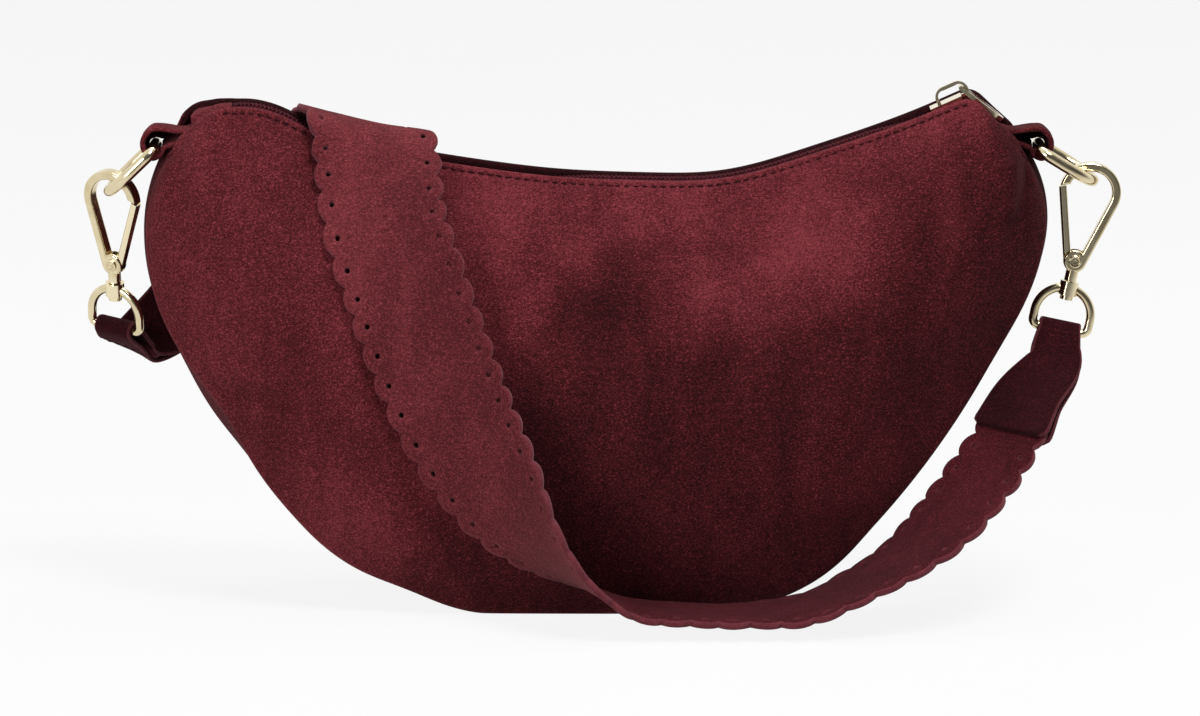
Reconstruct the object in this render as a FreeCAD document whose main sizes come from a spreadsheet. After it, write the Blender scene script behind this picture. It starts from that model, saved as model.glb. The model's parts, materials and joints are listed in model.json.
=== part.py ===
import FreeCAD, Part
import math
import os

import Sketcher

V = FreeCAD.Vector
UP = V(0, 0, 1)
SIDES = {"left": -1, "right": 1}

# Driving dimensions in millimetres and degrees: name, value, meaning
SIZES = [
    ("bag_width", 320, "width of the panels at their widest"),
    ("heel_radius", 95, "curve from the flat base to the flank"),
    ("heel_turn", 46, "how far the heel curve turns"),
    ("flank_radius", 282, "curve of the flank"),
    ("flank_turn", 18, "how far the flank curve turns"),
    ("hip_radius", 79, "curve up to the widest point"),
    ("corner_radius", 48.6, "curve above the widest point"),
    ("corner_turn", 33.4, "how far the upper corner turns in"),
    ("end_gap", 10.5, "height of the open end where the ring tab comes out"),
    ("end_lean", 121, "direction of that open end"),
    ("zip_radius", 305, "curve of the zipped top edge"),
    ("shoulder_radius", 6, "curve of the top edge at the shoulder"),
    ("shoulder_slope", 43, "slope of the top edge beyond the shoulder"),
    ("shoulder_length", 13.5, "straight top edge beyond the shoulder"),
    ("gusset_width", 68, "depth of the base between its seams"),
    ("end_width", 22, "depth of the bag at its ends"),
    ("zip_gap", 16, "distance between the panels along the zip"),
    ("fullness", 0.145, "how far a panel bulges, as a share of its height"),
    ("suede", 1.6, "thickness of the bag's suede"),
    ("lining", 0.6, "thickness of the lining"),
    ("seam_gap", 0.4, "clearance between sewn edges"),
    ("seam_inset", 0.6, "how far the panels' lower edges stay above the gusset's outer face"),
    ("lining_gap", 0.5, "clearance between suede and lining"),
    ("patch_end", 5, "how far the zip end patches stop before the open end"),
    ("gusset_end", 6, "how far the gusset stops before the open end"),
    ("pocket_reach", 62, "half of the inner pocket's length along the zip"),
    ("zip_drop", 2, "how far the zip lies below the panels' top edges"),
    ("tape_thickness", 0.6, "thickness of the zip tape"),
    ("coil_height", 2.2, "height of a coil half"),
    ("coil_inner", 0.8, "distance of a coil half from the middle of the zip"),
    ("coil_outer", 2.7, "outer side of a coil half from the middle of the zip"),
    ("slider_length", 12, "length of the slider's plates"),
    ("slider_width", 9, "width of the slider's plates"),
    ("slider_plate", 1.2, "thickness of the slider's plates"),
    ("slider_clear", 0.3, "running clearance round the coil"),
    ("slider_web", 1, "thickness of the wedge between the coil halves"),
    ("slider_nose", 3.4, "length of the narrow nose that carries the bail"),
    ("bail_width", 1.8, "width of the bail and of the nose"),
    ("bail_wire", 1.3, "thickness of the bail"),
    ("bail_height", 5.2, "height of the bail above the slider"),
    ("pull_bar", 0.8, "radius of the pull's cross bar"),
    ("pull_lift", 2.4, "height of the cross bar above the slider"),
    ("pull_length", 19, "length of the pull from the cross bar"),
    ("pull_width", 9, "width of the pull"),
    ("pull_rim", 1.9, "width of the pull's rim"),
    ("pull_thickness", 1.6, "thickness of the pull"),
    ("pull_droop", 62, "slope of the resting pull against the slider"),
    ("ring_wire", 4.2, "thickness of the ring's wire"),
    ("ring_inside", 20, "inner width of the ring"),
    ("ring_reach", 22.8, "from the ring's bar to the middle of its bow"),
    ("ring_corner", 4, "bend at the ring's corners"),
    ("ring_clear", 0.25, "clearance of the ring's bar in its tab"),
    ("ring_droop_left", 44, "slope of the left ring at rest"),
    ("ring_droop_right", 32, "slope of the right ring at rest"),
    ("tab_width", 18, "width of the ring tab"),
    ("tab_layer", 1.8, "thickness of one layer of the ring tab"),
    ("tab_slope", 22, "slope of the ring tab"),
    ("tab_outside", 9.5, "length of the ring tab outside the bag"),
    ("tab_inside", 7, "length of the ring tab sewn into the bag"),
    ("hook_base", 4.1, "radius of the hook's round base"),
    ("hook_bow", 11, "outer radius of the hook's bow"),
    ("hook_height", 25.3, "from the rivet to the middle of the bow"),
    ("hook_bar", 3.2, "width of the hook's bar"),
    ("hook_depth", 4.6, "depth of the hook, front to back"),
    ("hook_round", 0.9, "rounding of the hook's edges"),
    ("nose_angle", 168, "where on the bow the hook's nose ends"),
    ("hook_neck", 3.3, "length of the neck below the base"),
    ("neck_radius", 2.3, "radius of the neck"),
    ("gate_width", 2.8, "width of the gate's bar"),
    ("gate_depth", 3.6, "depth of the gate's bar"),
    ("gate_gap", 0.3, "clearance at the gate's tip and foot"),
    ("tongue_radius", 2.6, "radius of the gate's tongue"),
    ("tongue_depth", 2.2, "depth of the gate's tongue"),
    ("tongue_clear", 0.2, "clearance beside the tongue"),
    ("rivet_radius", 1, "radius of the gate's rivet"),
    ("rivet_head", 1.8, "radius of the rivet's heads"),
    ("rivet_rise", 0.45, "height of the rivet's heads"),
    ("pin_clear", 0.05, "running clearance of a pin"),
    ("spring_leaf", 0.4, "thickness of the gate's leaf spring"),
    ("spring_length", 3.4, "length of the gate's leaf spring"),
    ("stud_radius", 1.3, "radius of the swivel stud"),
    ("stud_head", 2.4, "radius of the stud's head"),
    ("stud_head_height", 1.5, "height of the stud's head"),
    ("stud_grip", 3, "how deep the stud sits in the hook's neck"),
    ("swivel_gap", 0.2, "end play of the swivel"),
    ("boss_radius", 3.4, "radius of the eye's boss"),
    ("boss_height", 5, "height of the eye's boss"),
    ("eye_wire", 3.2, "thickness of the eye's wire"),
    ("eye_inside", 17, "inner width of the eye"),
    ("eye_corner", 2.4, "bend at the eye's corners"),
    ("eye_height", 15.4, "from the eye's bar to the middle of its boss"),
    ("eye_clear", 0.3, "clearance of the eye's bar in the strap tab"),
    ("hang_gap", 1.1, "play between the hook's bow and the ring"),
    ("clip_tilt_right", 12, "sideways tilt of the right hook"),
    ("clip_lean_left", 15, "forward lean of the left hook"),
    ("clip_yaw_left", 30, "turn of the left hook about its axis"),
    ("strap_width", 45, "width of the strap over its scallops"),
    ("strap_end_width", 28, "width of the strap inside its end tabs"),
    ("strap_thickness", 2.4, "thickness of the strap"),
    ("strap_taper", 60, "length over which the strap narrows"),
    ("strap_lift", 2.2, "clearance between strap and bag"),
    ("strap_tab_length", 48, "length of the strap's end tabs"),
    ("strap_tab_narrow", 15, "width of an end tab at the eye"),
    ("strap_tab_wide", 31, "width of an end tab at its far end"),
    ("flap", 1.6, "thickness of one flap of an end tab"),
    ("flap_gap", 0.15, "clearance between flap and strap"),
]

doc = FreeCAD.newDocument("half_moon_bag")
sheet = doc.addObject("Spreadsheet::Sheet", "Sizes")
for row, (name, value, meaning) in enumerate(SIZES, start=1):
    sheet.set(f"A{row}", meaning)
    sheet.set(f"B{row}", str(value))
    sheet.setAlias(f"B{row}", name)
doc.recompute()

S = {name: float(sheet.get(name)) for name, value, meaning in SIZES}
nodes = []


def sine(degrees):
    return math.sin(math.radians(degrees))


def cosine(degrees):
    return math.cos(math.radians(degrees))


class Chain:
    """Straight runs and tangent arcs in the XZ plane, from a start point and heading 0 (+X)."""

    def __init__(self, x, z):
        self.x = x
        self.z = z
        self.runs = []

    def straight(self, length):
        self.runs.append((length, 0.0))

    def arc(self, radius, turn):
        """An arc that turns left for a positive angle, right for a negative one."""
        self.runs.append((radius * math.radians(abs(turn)), math.radians(turn)))

    def length(self):
        return sum(length for length, turn in self.runs)

    def at(self, distance):
        """Point and heading at a distance along the chain, mirrored for a negative distance."""
        left = abs(distance)
        x, z, heading = self.x, self.z, 0.0
        for length, turn in self.runs:
            part = min(left, length)
            half = turn * part / length / 2
            step = part if abs(half) < 1e-9 else part * math.sin(half) / half
            x += step * math.cos(heading + half)
            z += step * math.sin(heading + half)
            heading += 2 * half
            left -= part
        sign = -1 if distance < 0 else 1
        return V(sign * x, 0, z), V(sign * math.cos(heading), 0, math.sin(heading))


def side_chain():
    """The lower edge, from the middle of the base to the open end."""
    hip_start = S["heel_turn"] + S["flank_turn"]
    reach = S["heel_radius"] * sine(S["heel_turn"])
    reach += S["flank_radius"] * (sine(hip_start) - sine(S["heel_turn"]))
    reach += S["hip_radius"] * (1 - sine(hip_start))
    chain = Chain(0, 0)
    chain.straight(S["bag_width"] / 2 - reach)
    chain.arc(S["heel_radius"], S["heel_turn"])
    chain.arc(S["flank_radius"], S["flank_turn"])
    chain.arc(S["hip_radius"], 90 - hip_start)
    chain.arc(S["corner_radius"], S["corner_turn"])
    return chain


def top_chain(low_end):
    """The zipped upper edge, from its middle to the open end, and the half angle of the zip."""
    end = low_end + V(cosine(S["end_lean"]), 0, sine(S["end_lean"])) * S["end_gap"]
    slope = S["shoulder_slope"]
    zip_span = end.x - S["shoulder_radius"] * sine(slope) - S["shoulder_length"] * cosine(slope)
    half = math.degrees(math.asin(zip_span / (S["zip_radius"] + S["shoulder_radius"])))
    rise = S["zip_radius"] * (1 - cosine(half))
    rise += S["shoulder_radius"] * (cosine(slope) - cosine(half))
    rise -= S["shoulder_length"] * sine(slope)
    chain = Chain(0, end.z - rise)
    chain.arc(S["zip_radius"], half)
    chain.arc(S["shoulder_radius"], -half - slope)
    chain.straight(S["shoulder_length"])
    return chain, half


side = side_chain()
side_length = side.length()
low_end = side.at(side_length)[0]
top, zip_half_angle = top_chain(low_end)
top_length = top.length()
zip_length = top.runs[0][0]
zip_centre = V(0, 0, top.z + S["zip_radius"])
open_end = (low_end + top.at(top_length)[0]) / 2


def seam_depth(share):
    """Half the depth of the bag at its lower seam; share runs from 0 in the middle to 1 at the end."""
    end = S["end_width"] / 2
    return end + (S["gusset_width"] / 2 - end) * cosine(90 * abs(share))


def rim_depth(share):
    """Half the depth of the bag at its upper edge."""
    rim = S["zip_gap"] / 2
    return rim + (S["end_width"] / 2 - rim) * abs(share) ** 6


def rib(share):
    """The front panel's outer line from its upper edge to its lower seam, as an arc."""
    upper = top.at(share * top_length)[0]
    lower, heading = side.at(share * side_length)
    lower += V(-heading.z, 0, heading.x) * math.copysign(S["seam_inset"], share)
    bulge = S["fullness"] * (upper - lower).Length
    middle = (upper + lower) / 2
    middle.y = -(rim_depth(share) + seam_depth(share)) / 2 - bulge
    upper.y = -rim_depth(share)
    lower.y = -seam_depth(share)
    return Part.Arc(upper, middle, lower)


def rib_shares(reach=1.0):
    """Where the ribs stand: closer together round the shoulder."""
    zip_share = zip_length / top_length
    bend_share = (top_length - S["shoulder_length"]) / top_length
    bend = bend_share - zip_share
    half = [zip_share * k / 20 for k in range(1, 18)]
    half += [zip_share - bend / 2 * k for k in (2, 1, 0)]
    half += [bend_share - bend / 2, bend_share, bend_share + bend / 2, bend_share + bend]
    half = [share for share in half if share < reach - 0.02] + [reach]
    return [-share for share in reversed(half)] + [0.0] + half


def depth_at(x, z):
    """Half the depth of the bag where a line along Y passes through x and z."""
    low, high = -1.0, 1.0
    for _ in range(40):
        share = (low + high) / 2
        upper = top.at(share * top_length)[0]
        lower = side.at(share * side_length)[0]
        lean = (lower - upper).cross(V(x, 0, z) - upper).y
        if lean > 0:
            high = share
        else:
            low = share
    along = min(max((upper.z - z) / (upper.z - lower.z), 0.0), 1.0)
    bulge = S["fullness"] * (upper - lower).Length
    flat = rim_depth(share) * (1 - along) + seam_depth(share) * along
    return flat + 4 * bulge * along * (1 - along)


def add_shape(label, shape):
    """A node whose shape is worked out here."""
    node = doc.addObject("Part::Feature", label)
    node.Label = label
    node.Shape = shape
    nodes.append(node)
    return node


def panel(front, inset, thickness, low=0.0, high=1.0, reach=1.0):
    """A curved panel through the ribs, inset from the bag's outer face, over part of each rib."""
    flip = -1 if front else 1
    wires = []
    for share in rib_shares(reach):
        arc = rib(share)
        span = arc.LastParameter - arc.FirstParameter
        spots = [arc.value(arc.FirstParameter + span * (low + (high - low) * k / 2)) for k in range(3)]
        outer = [V(p.x, flip * (-p.y - inset), p.z) for p in spots]
        inner = [V(p.x, flip * (-p.y - inset - thickness), p.z) for p in spots]
        edges = [
            Part.Arc(*outer).toShape(),
            Part.makeLine(outer[2], inner[2]),
            Part.Arc(inner[2], inner[1], inner[0]).toShape(),
            Part.makeLine(inner[0], outer[0]),
        ]
        wires.append(Part.Wire(edges))
    return Part.makeLoft(wires, True, True)


def strip(chain, distances, half_width, inset, thickness, inward):
    """A strip along a chain: inset from it and of a given thickness, towards the inside of the bag."""
    wires = []
    for distance in distances:
        point, heading = chain.at(distance)
        sign = -1 if distance < 0 else 1
        normal = V(-heading.z, 0, heading.x) * inward * sign
        near = point + normal * inset
        far = point + normal * (inset + thickness)
        half = V(0, half_width(distance / chain.length()), 0)
        wires.append(Part.makePolygon([near - half, near + half, far + half, far - half, near - half]))
    return Part.makeLoft(wires, True, True)


def chain_stops(chain, last, step):
    """Distances along a chain up to last: its joints, and even steps between them."""
    stops = [0.0]
    for length, turn in chain.runs:
        parts = max(1, round(length / step)) if turn else 1
        start = stops[-1]
        stops += [start + length * k / parts for k in range(1, parts + 1)]
    return [stop for stop in stops if stop < last - 1] + [last]


def make_body_pieces():
    """Panels, gusset, linings, pocket and the patches at the zip's ends."""
    suede = S["suede"]
    gap = S["seam_gap"]
    for name, front in (("front", True), ("back", False)):
        add_shape(f"{name}_panel", panel(front, 0, suede))
        inset = suede + S["lining_gap"]
        add_shape(f"{name}_lining", panel(front, inset, S["lining"], 0.07, 0.93, 0.9))
    pocket_inset = suede + S["lining_gap"] + S["lining"] + gap
    pocket_share = S["pocket_reach"] / top_length
    add_shape("inner_pocket", panel(False, pocket_inset, S["lining"], 0.3, 0.75, pocket_share))

    half = chain_stops(side, side_length - S["gusset_end"], 16)
    stops = [-stop for stop in reversed(half[1:])] + half[1:]
    edge = suede + gap
    add_shape("bottom_gusset", strip(side, stops, lambda u: seam_depth(u) - edge, 0, suede, 1))
    inner = edge + S["lining"] + gap
    add_shape("gusset_lining", strip(side, stops, lambda u: seam_depth(u) - inner, edge, S["lining"], 1))

    stops = chain_stops(top, top_length - S["patch_end"], 3)
    stops = [stop for stop in stops if stop > zip_length + gap]
    for name, sign in SIDES.items():
        along = [sign * stop for stop in stops]
        patch = strip(top, along, lambda u: rim_depth(u) - edge, S["zip_drop"], suede, -1)
        add_shape(f"{name}_zip_end_patch", patch)


def new_body(label):
    body = doc.addObject("PartDesign::Body", label)
    body.Label = label
    nodes.append(body)
    return body


def new_sketch(body, name, role, offset=None):
    """A sketch on one of the body's own planes, moved along its normal by an expression."""
    sketch = body.newObject("Sketcher::SketchObject", name)
    plane = next(f for f in body.Origin.OriginFeatures if f.Role == role)
    sketch.AttachmentSupport = [(plane, "")]
    sketch.MapMode = "FlatFace"
    if offset:
        sketch.setExpression("AttachmentOffset.Base.z", offset)
    return sketch


def worked_out(sketch, expression):
    value = sketch.evalExpression(expression)
    return float(getattr(value, "Value", value))


def rectangle(body, name, role, left, right, low, high):
    """A rectangle whose four sides are bound to the sheet."""
    sketch = new_sketch(body, name, role)
    x0, x1, y0, y1 = (worked_out(sketch, text) for text in (left, right, low, high))
    corners = [V(x0, y0, 0), V(x1, y0, 0), V(x1, y1, 0), V(x0, y1, 0)]
    for k in range(4):
        sketch.addGeometry(Part.LineSegment(corners[k], corners[(k + 1) % 4]))
    for k in range(4):
        sketch.addConstraint(Sketcher.Constraint("Coincident", k, 2, (k + 1) % 4, 1))
        sketch.addConstraint(Sketcher.Constraint("Vertical" if k % 2 else "Horizontal", k))
    sides = [("DistanceX", 0, left, x0), ("DistanceX", 1, right, x1)]
    sides += [("DistanceY", 0, low, y0), ("DistanceY", 2, high, y1)]
    for kind, line, text, value in sides:
        number = sketch.addConstraint(Sketcher.Constraint(kind, -1, 1, line, 1, value))
        sketch.setExpression(f"Constraints[{number}]", text)
    return sketch


def circle(body, name, role, radius, offset=None):
    """A circle about the body's origin whose radius is bound to the sheet."""
    sketch = new_sketch(body, name, role, offset)
    value = worked_out(sketch, radius)
    sketch.addGeometry(Part.Circle(V(0, 0, 0), UP, value))
    sketch.addConstraint(Sketcher.Constraint("Coincident", 0, 3, -1, 1))
    number = sketch.addConstraint(Sketcher.Constraint("Radius", 0, value))
    sketch.setExpression(f"Constraints[{number}]", radius)
    return sketch


def outline(body, name, role, pieces):
    """A sketch of lines (two points) and arcs (three points)."""
    sketch = new_sketch(body, name, role)
    for piece in pieces:
        points = [V(x, y, 0) for x, y in piece]
        sketch.addGeometry(Part.Arc(*points) if len(points) == 3 else Part.LineSegment(*points))
    return sketch


def closed(points):
    """The lines of a closed polygon."""
    return list(zip(points, points[1:] + points[:1]))


def feature(body, kind, sketch, **settings):
    """A PartDesign feature of a sketch; text settings are bound to the sheet."""
    made = body.newObject(f"PartDesign::{kind}", f"{body.Name}_{kind}")
    made.Profile = sketch
    for key, value in settings.items():
        if isinstance(value, str) and key in ("Length", "Angle"):
            made.setExpression(key, value)
        else:
            setattr(made, key, value)
    doc.recompute()
    return made


def pipe(body, wire, spine, radius, role):
    """A round wire swept along a closed spine that starts at the origin, square to a plane."""
    profile = circle(body, f"{wire}_profile", role, radius)
    made = body.newObject("PartDesign::AdditivePipe", f"{body.Name}_{wire}")
    made.Profile = profile
    made.Spine = spine
    doc.recompute()
    return made


def place(node, point, x_axis=V(1, 0, 0), z_axis=UP):
    """Stand a node at a point with its X and Z axes in the given directions."""
    turn = FreeCAD.Rotation(x_axis, z_axis.cross(x_axis), z_axis, "ZXY")
    node.Placement = FreeCAD.Placement(point, turn)


def revolve_zip(label, near, far, middle, height):
    """A curved bar of the zip, turned about the middle of the zip's arc."""
    body = new_body(label)
    low = f"-(Sizes.zip_radius + Sizes.zip_drop + {middle} + {height} / 2)"
    high = f"-(Sizes.zip_radius + Sizes.zip_drop + {middle} - {height} / 2)"
    sketch = rectangle(body, f"{label}_section", "YZ_Plane", near, far, low, high)
    axis = (sketch, ["H_Axis"])
    made = feature(body, "Revolution", sketch, ReferenceAxis=axis, Midplane=True)
    made.Angle = 2 * zip_half_angle
    place(body, zip_centre)


def make_zip():
    """Tapes and coil halves."""
    tape_edge = "(Sizes.zip_gap / 2 - Sizes.suede - Sizes.seam_gap)"
    for name, sign in (("front", "-"), ("back", "")):
        revolve_zip(f"{name}_zip_tape", f"{sign}Sizes.coil_outer", sign + tape_edge, "0 * Sizes.zip_drop",
                    "Sizes.tape_thickness")
        revolve_zip(f"{name}_zip_coil", f"{sign}Sizes.coil_inner", f"{sign}Sizes.coil_outer",
                    "0 * Sizes.zip_drop", "Sizes.coil_height")


def slider_frame():
    """Where the slider rests: the middle of its plates on the coil's middle line, and its axes."""
    radius = S["zip_radius"] + S["zip_drop"]
    angle = zip_half_angle - math.degrees(S["slider_length"] / 2 / radius)
    along = V(cosine(angle), 0, sine(angle))
    normal = V(-sine(angle), 0, cosine(angle))
    return zip_centre - normal * radius, along, normal


def slider_top():
    """Height of the slider's upper face above the coil's middle line."""
    return S["coil_height"] / 2 + S["slider_clear"] + S["slider_plate"]


def pull_bar_offset():
    """Place of the pull's cross bar in the slider's own frame."""
    nose_end = S["slider_length"] / 2 + S["slider_nose"]
    return V(nose_end - S["bail_wire"] - S["slider_clear"] - S["pull_bar"], 0, slider_top() + S["pull_lift"])


def make_slider():
    """Two plates with lips round the coil, joined by the wedge, with a nose and a bail on top."""
    body = new_body("zip_slider")
    half = S["slider_width"] / 2
    web = S["slider_web"] / 2
    roof = S["coil_height"] / 2 + S["slider_clear"]
    lip = S["tape_thickness"] / 2 + S["slider_clear"]
    inner = S["coil_outer"] + S["slider_clear"]
    upper = [(web, roof), (inner, roof), (inner, lip), (half, lip), (half, slider_top())]
    right = [(y, -z) for y, z in reversed(upper)] + upper
    left = [(-y, -z) for y, z in right]
    section = outline(body, "slider_section", "YZ_Plane", closed(right + left))
    feature(body, "Pad", section, Length="Sizes.slider_length", Midplane=True)

    plate_end = S["slider_length"] / 2
    nose_end = plate_end + S["slider_nose"]
    floor = slider_top()
    low = floor - S["slider_plate"]
    crown = floor + S["bail_height"]
    wire = S["bail_wire"]
    rear = -plate_end / 2
    bend = S["bail_height"] - wire
    nose = closed([(rear, low), (nose_end, low), (nose_end, floor), (rear, floor)])
    feature(body, "Pad", outline(body, "nose_side", "XZ_Plane", nose), Length="Sizes.bail_width", Midplane=True)
    slant = bend * (1 - cosine(45))
    bail = [
        ((rear, low), (nose_end, low)),
        ((nose_end, low), (nose_end, crown - bend)),
        ((nose_end, crown - bend), (nose_end - slant, crown - slant), (nose_end - bend, crown)),
        ((nose_end - bend, crown), (rear + bend, crown)),
        ((rear + bend, crown), (rear + slant, crown - slant), (rear, crown - bend)),
        ((rear, crown - bend), (rear, low)),
    ]
    feature(body, "Pad", outline(body, "bail_side", "XZ_Plane", bail), Length="Sizes.bail_width", Midplane=True)
    window = [
        ((rear + wire, floor), (nose_end - wire, floor)),
        ((nose_end - wire, floor), (nose_end - wire, crown - bend)),
        ((nose_end - wire, crown - bend), (nose_end - slant - wire / 2, crown - slant - wire / 2),
         (nose_end - bend, crown - wire)),
        ((nose_end - bend, crown - wire), (rear + bend, crown - wire)),
        ((rear + bend, crown - wire), (rear + slant + wire / 2, crown - slant - wire / 2),
         (rear + wire, crown - bend)),
        ((rear + wire, crown - bend), (rear + wire, floor)),
    ]
    hole = outline(body, "bail_window", "XZ_Plane", window)
    feature(body, "Pocket", hole, Type="ThroughAll", Midplane=True)
    point, along, normal = slider_frame()
    place(body, point, along, normal)


def make_pull():
    """A hollow loop: a round cross bar under the bail, two limbs and a rounded end."""
    body = new_body("zip_pull")
    bar = S["pull_bar"]
    rim = S["pull_rim"]
    half = S["pull_width"] / 2
    end = S["pull_length"]
    neck = S["bail_width"] / 2 + S["slider_clear"] + rim
    start = bar / 2
    flare = end / 3
    loop = [
        ((0, -neck), (flare, -half)),
        ((flare, -half), (end - half, -half)),
        ((end - half, -half), (end, 0), (end - half, half)),
        ((end - half, half), (flare, half)),
        ((flare, half), (0, neck)),
        ((0, neck), (0, -neck)),
    ]
    inner = half - rim
    window = [
        ((start, -neck + rim), (flare, -inner)),
        ((flare, -inner), (end - half, -inner)),
        ((end - half, -inner), (end - rim, 0), (end - half, inner)),
        ((end - half, inner), (flare, inner)),
        ((flare, inner), (start, neck - rim)),
        ((start, neck - rim), (start, -neck + rim)),
    ]
    face = outline(body, "pull_face", "XY_Plane", loop)
    feature(body, "Pad", face, Length="Sizes.pull_thickness", Midplane=True)
    hole = outline(body, "pull_window", "XY_Plane", window)
    feature(body, "Pocket", hole, Type="ThroughAll", Midplane=True)
    cross = circle(body, "pull_bar", "XZ_Plane", "Sizes.pull_bar")
    made = feature(body, "Pad", cross, Midplane=True)
    made.Length = 2 * neck
    point, along, normal = slider_frame()
    offset = pull_bar_offset()
    droop = S["pull_droop"]
    x_axis = along * cosine(droop) - normal * sine(droop)
    z_axis = along * sine(droop) + normal * cosine(droop)
    place(body, point + along * offset.x + normal * offset.z, x_axis, z_axis)


def ring_bar(name):
    """The middle of a ring's bar, out along its tab from the bag's open end."""
    out = V(SIDES[name] * cosine(S["tab_slope"]), 0, -sine(S["tab_slope"]))
    start = V(SIDES[name] * open_end.x, 0, open_end.z)
    return start + out * S["tab_outside"], out


def ring_axes(name):
    droop = S[f"ring_droop_{name}"]
    out = V(SIDES[name] * cosine(droop), 0, -sine(droop))
    return out, out.cross(V(0, SIDES[name], 0))


def make_ring_tab(name):
    """A suede strip folded round the ring's bar, its two layers sewn together."""
    body = new_body(f"{name}_ring_tab")
    layer = S["tab_layer"]
    outer = S["ring_wire"] / 2 + S["ring_clear"] + layer
    tail = -S["tab_outside"] - S["tab_inside"]
    waist = -S["tab_outside"] * 0.7
    fold = [
        ((0, outer), (outer, 0), (0, -outer)),
        ((0, -outer), (waist, -layer)),
        ((waist, -layer), (tail, -layer)),
        ((tail, -layer), (tail, layer)),
        ((tail, layer), (waist, layer)),
        ((waist, layer), (0, outer)),
    ]
    feature(body, "Pad", outline(body, "tab_fold", "XZ_Plane", fold), Length="Sizes.tab_width", Midplane=True)
    bore = circle(body, "tab_bore", "XZ_Plane", "Sizes.ring_wire / 2 + Sizes.ring_clear")
    feature(body, "Pocket", bore, Type="ThroughAll", Midplane=True)
    point, out = ring_bar(name)
    place(body, point, out, out.cross(V(0, SIDES[name], 0)))


def make_ring(name):
    """An oblong D-ring: a bar, two limbs and a half round bow."""
    body = new_body(f"{name}_side_ring")
    half = (S["ring_inside"] + S["ring_wire"]) / 2
    bend = S["ring_corner"]
    slant = bend * (1 - cosine(45))
    limb = S["ring_reach"] - half
    diagonal = half * cosine(45)
    spine = [
        ((0, 0), (0, half - bend)),
        ((0, half - bend), (slant, half - slant), (bend, half)),
        ((bend, half), (limb, half)),
        ((limb, half), (limb + diagonal, diagonal), (limb + half, 0)),
        ((limb + half, 0), (limb + diagonal, -diagonal), (limb, -half)),
        ((limb, -half), (bend, -half)),
        ((bend, -half), (slant, -half + slant), (0, -half + bend)),
        ((0, -half + bend), (0, 0)),
    ]
    path = outline(body, "ring_path", "XY_Plane", spine)
    pipe(body, "wire", path, "Sizes.ring_wire / 2", "XZ_Plane")
    point, _ = ring_bar(name)
    out, normal = ring_axes(name)
    place(body, point, out, normal)


def clip_frame(name):
    """The strap eye's bar and the hook's axes: X to the spine, Z up along the swivel."""
    hang = S["hook_height"] + S["hook_bow"] - S["hook_bar"] - S["ring_wire"] / 2 - S["hang_gap"]
    if name == "right":
        tilt = S["clip_tilt_right"]
        axis = V(sine(tilt), 0, cosine(tilt))
        spine = V(cosine(tilt), 0, -sine(tilt))
    else:
        lean = S["clip_lean_left"]
        yaw = S["clip_yaw_left"]
        axis = V(0, -sine(lean), cosine(lean))
        level = V(-1, 0, 0) * cosine(yaw) + V(0, 1, 0) * sine(yaw)
        spine = (level - axis * level.dot(axis)).normalize()
    half = (S["ring_inside"] + S["ring_wire"]) / 2
    out, normal = ring_axes(name)
    pull = (normal * axis.dot(normal) - axis).normalize()
    bow = ring_bar(name)[0] + out * (S["ring_reach"] - half) + pull * half
    return bow - axis * (rivet_height() + hang), spine, axis


def rivet_height():
    """Height of the gate's rivet above the eye's bar."""
    return S["eye_height"] + S["boss_height"] / 2 + S["swivel_gap"] + S["hook_neck"] + S["hook_base"]


def place_on_clip(node, name, height):
    bar, spine, axis = clip_frame(name)
    place(node, bar + axis * height, spine, axis)


def hook_lean():
    """Half the angle between the hook's two straight sides, in degrees."""
    return math.degrees(math.asin((S["hook_bow"] - S["hook_base"]) / S["hook_height"]))


def on_side(sign, offset, along):
    """A point by one straight side of the hook: offset outwards from the rivet, along from its foot."""
    lean = hook_lean()
    x = sign * (offset * cosine(lean) + along * sine(lean))
    return x, along * cosine(lean) - offset * sine(lean)


def at_radius(sign, offset, radius):
    """The point of that side line at a radius from the rivet."""
    return on_side(sign, offset, math.sqrt(radius ** 2 - offset ** 2))


def polar(radius, degrees, rise=0.0):
    return radius * cosine(degrees), rise + radius * sine(degrees)


def nose_radius():
    """Distance of the hook's nose from the rivet."""
    x, z = polar(S["hook_bow"] - S["hook_bar"], S["nose_angle"], S["hook_height"])
    return math.hypot(x, z)


def is_arc(line, radius):
    return line.Curve.TypeId == "Part::GeomCircle" and abs(line.Curve.Radius - radius) < 1e-6


def round_rims(body, solid, wanted):
    """Round the wanted edges of a flat piece's front and back faces."""
    rims = []
    for number, line in enumerate(solid.Shape.Edges, start=1):
        level = [vertex.Y for vertex in line.Vertexes]
        if max(level) - min(level) < 1e-6 and wanted(line):
            rims.append(f"Edge{number}")
    rounding = body.newObject("PartDesign::Fillet", f"{body.Name}_rounding")
    rounding.Base = (solid, rims)
    rounding.setExpression("Radius", "Sizes.hook_round")
    doc.recompute()


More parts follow.
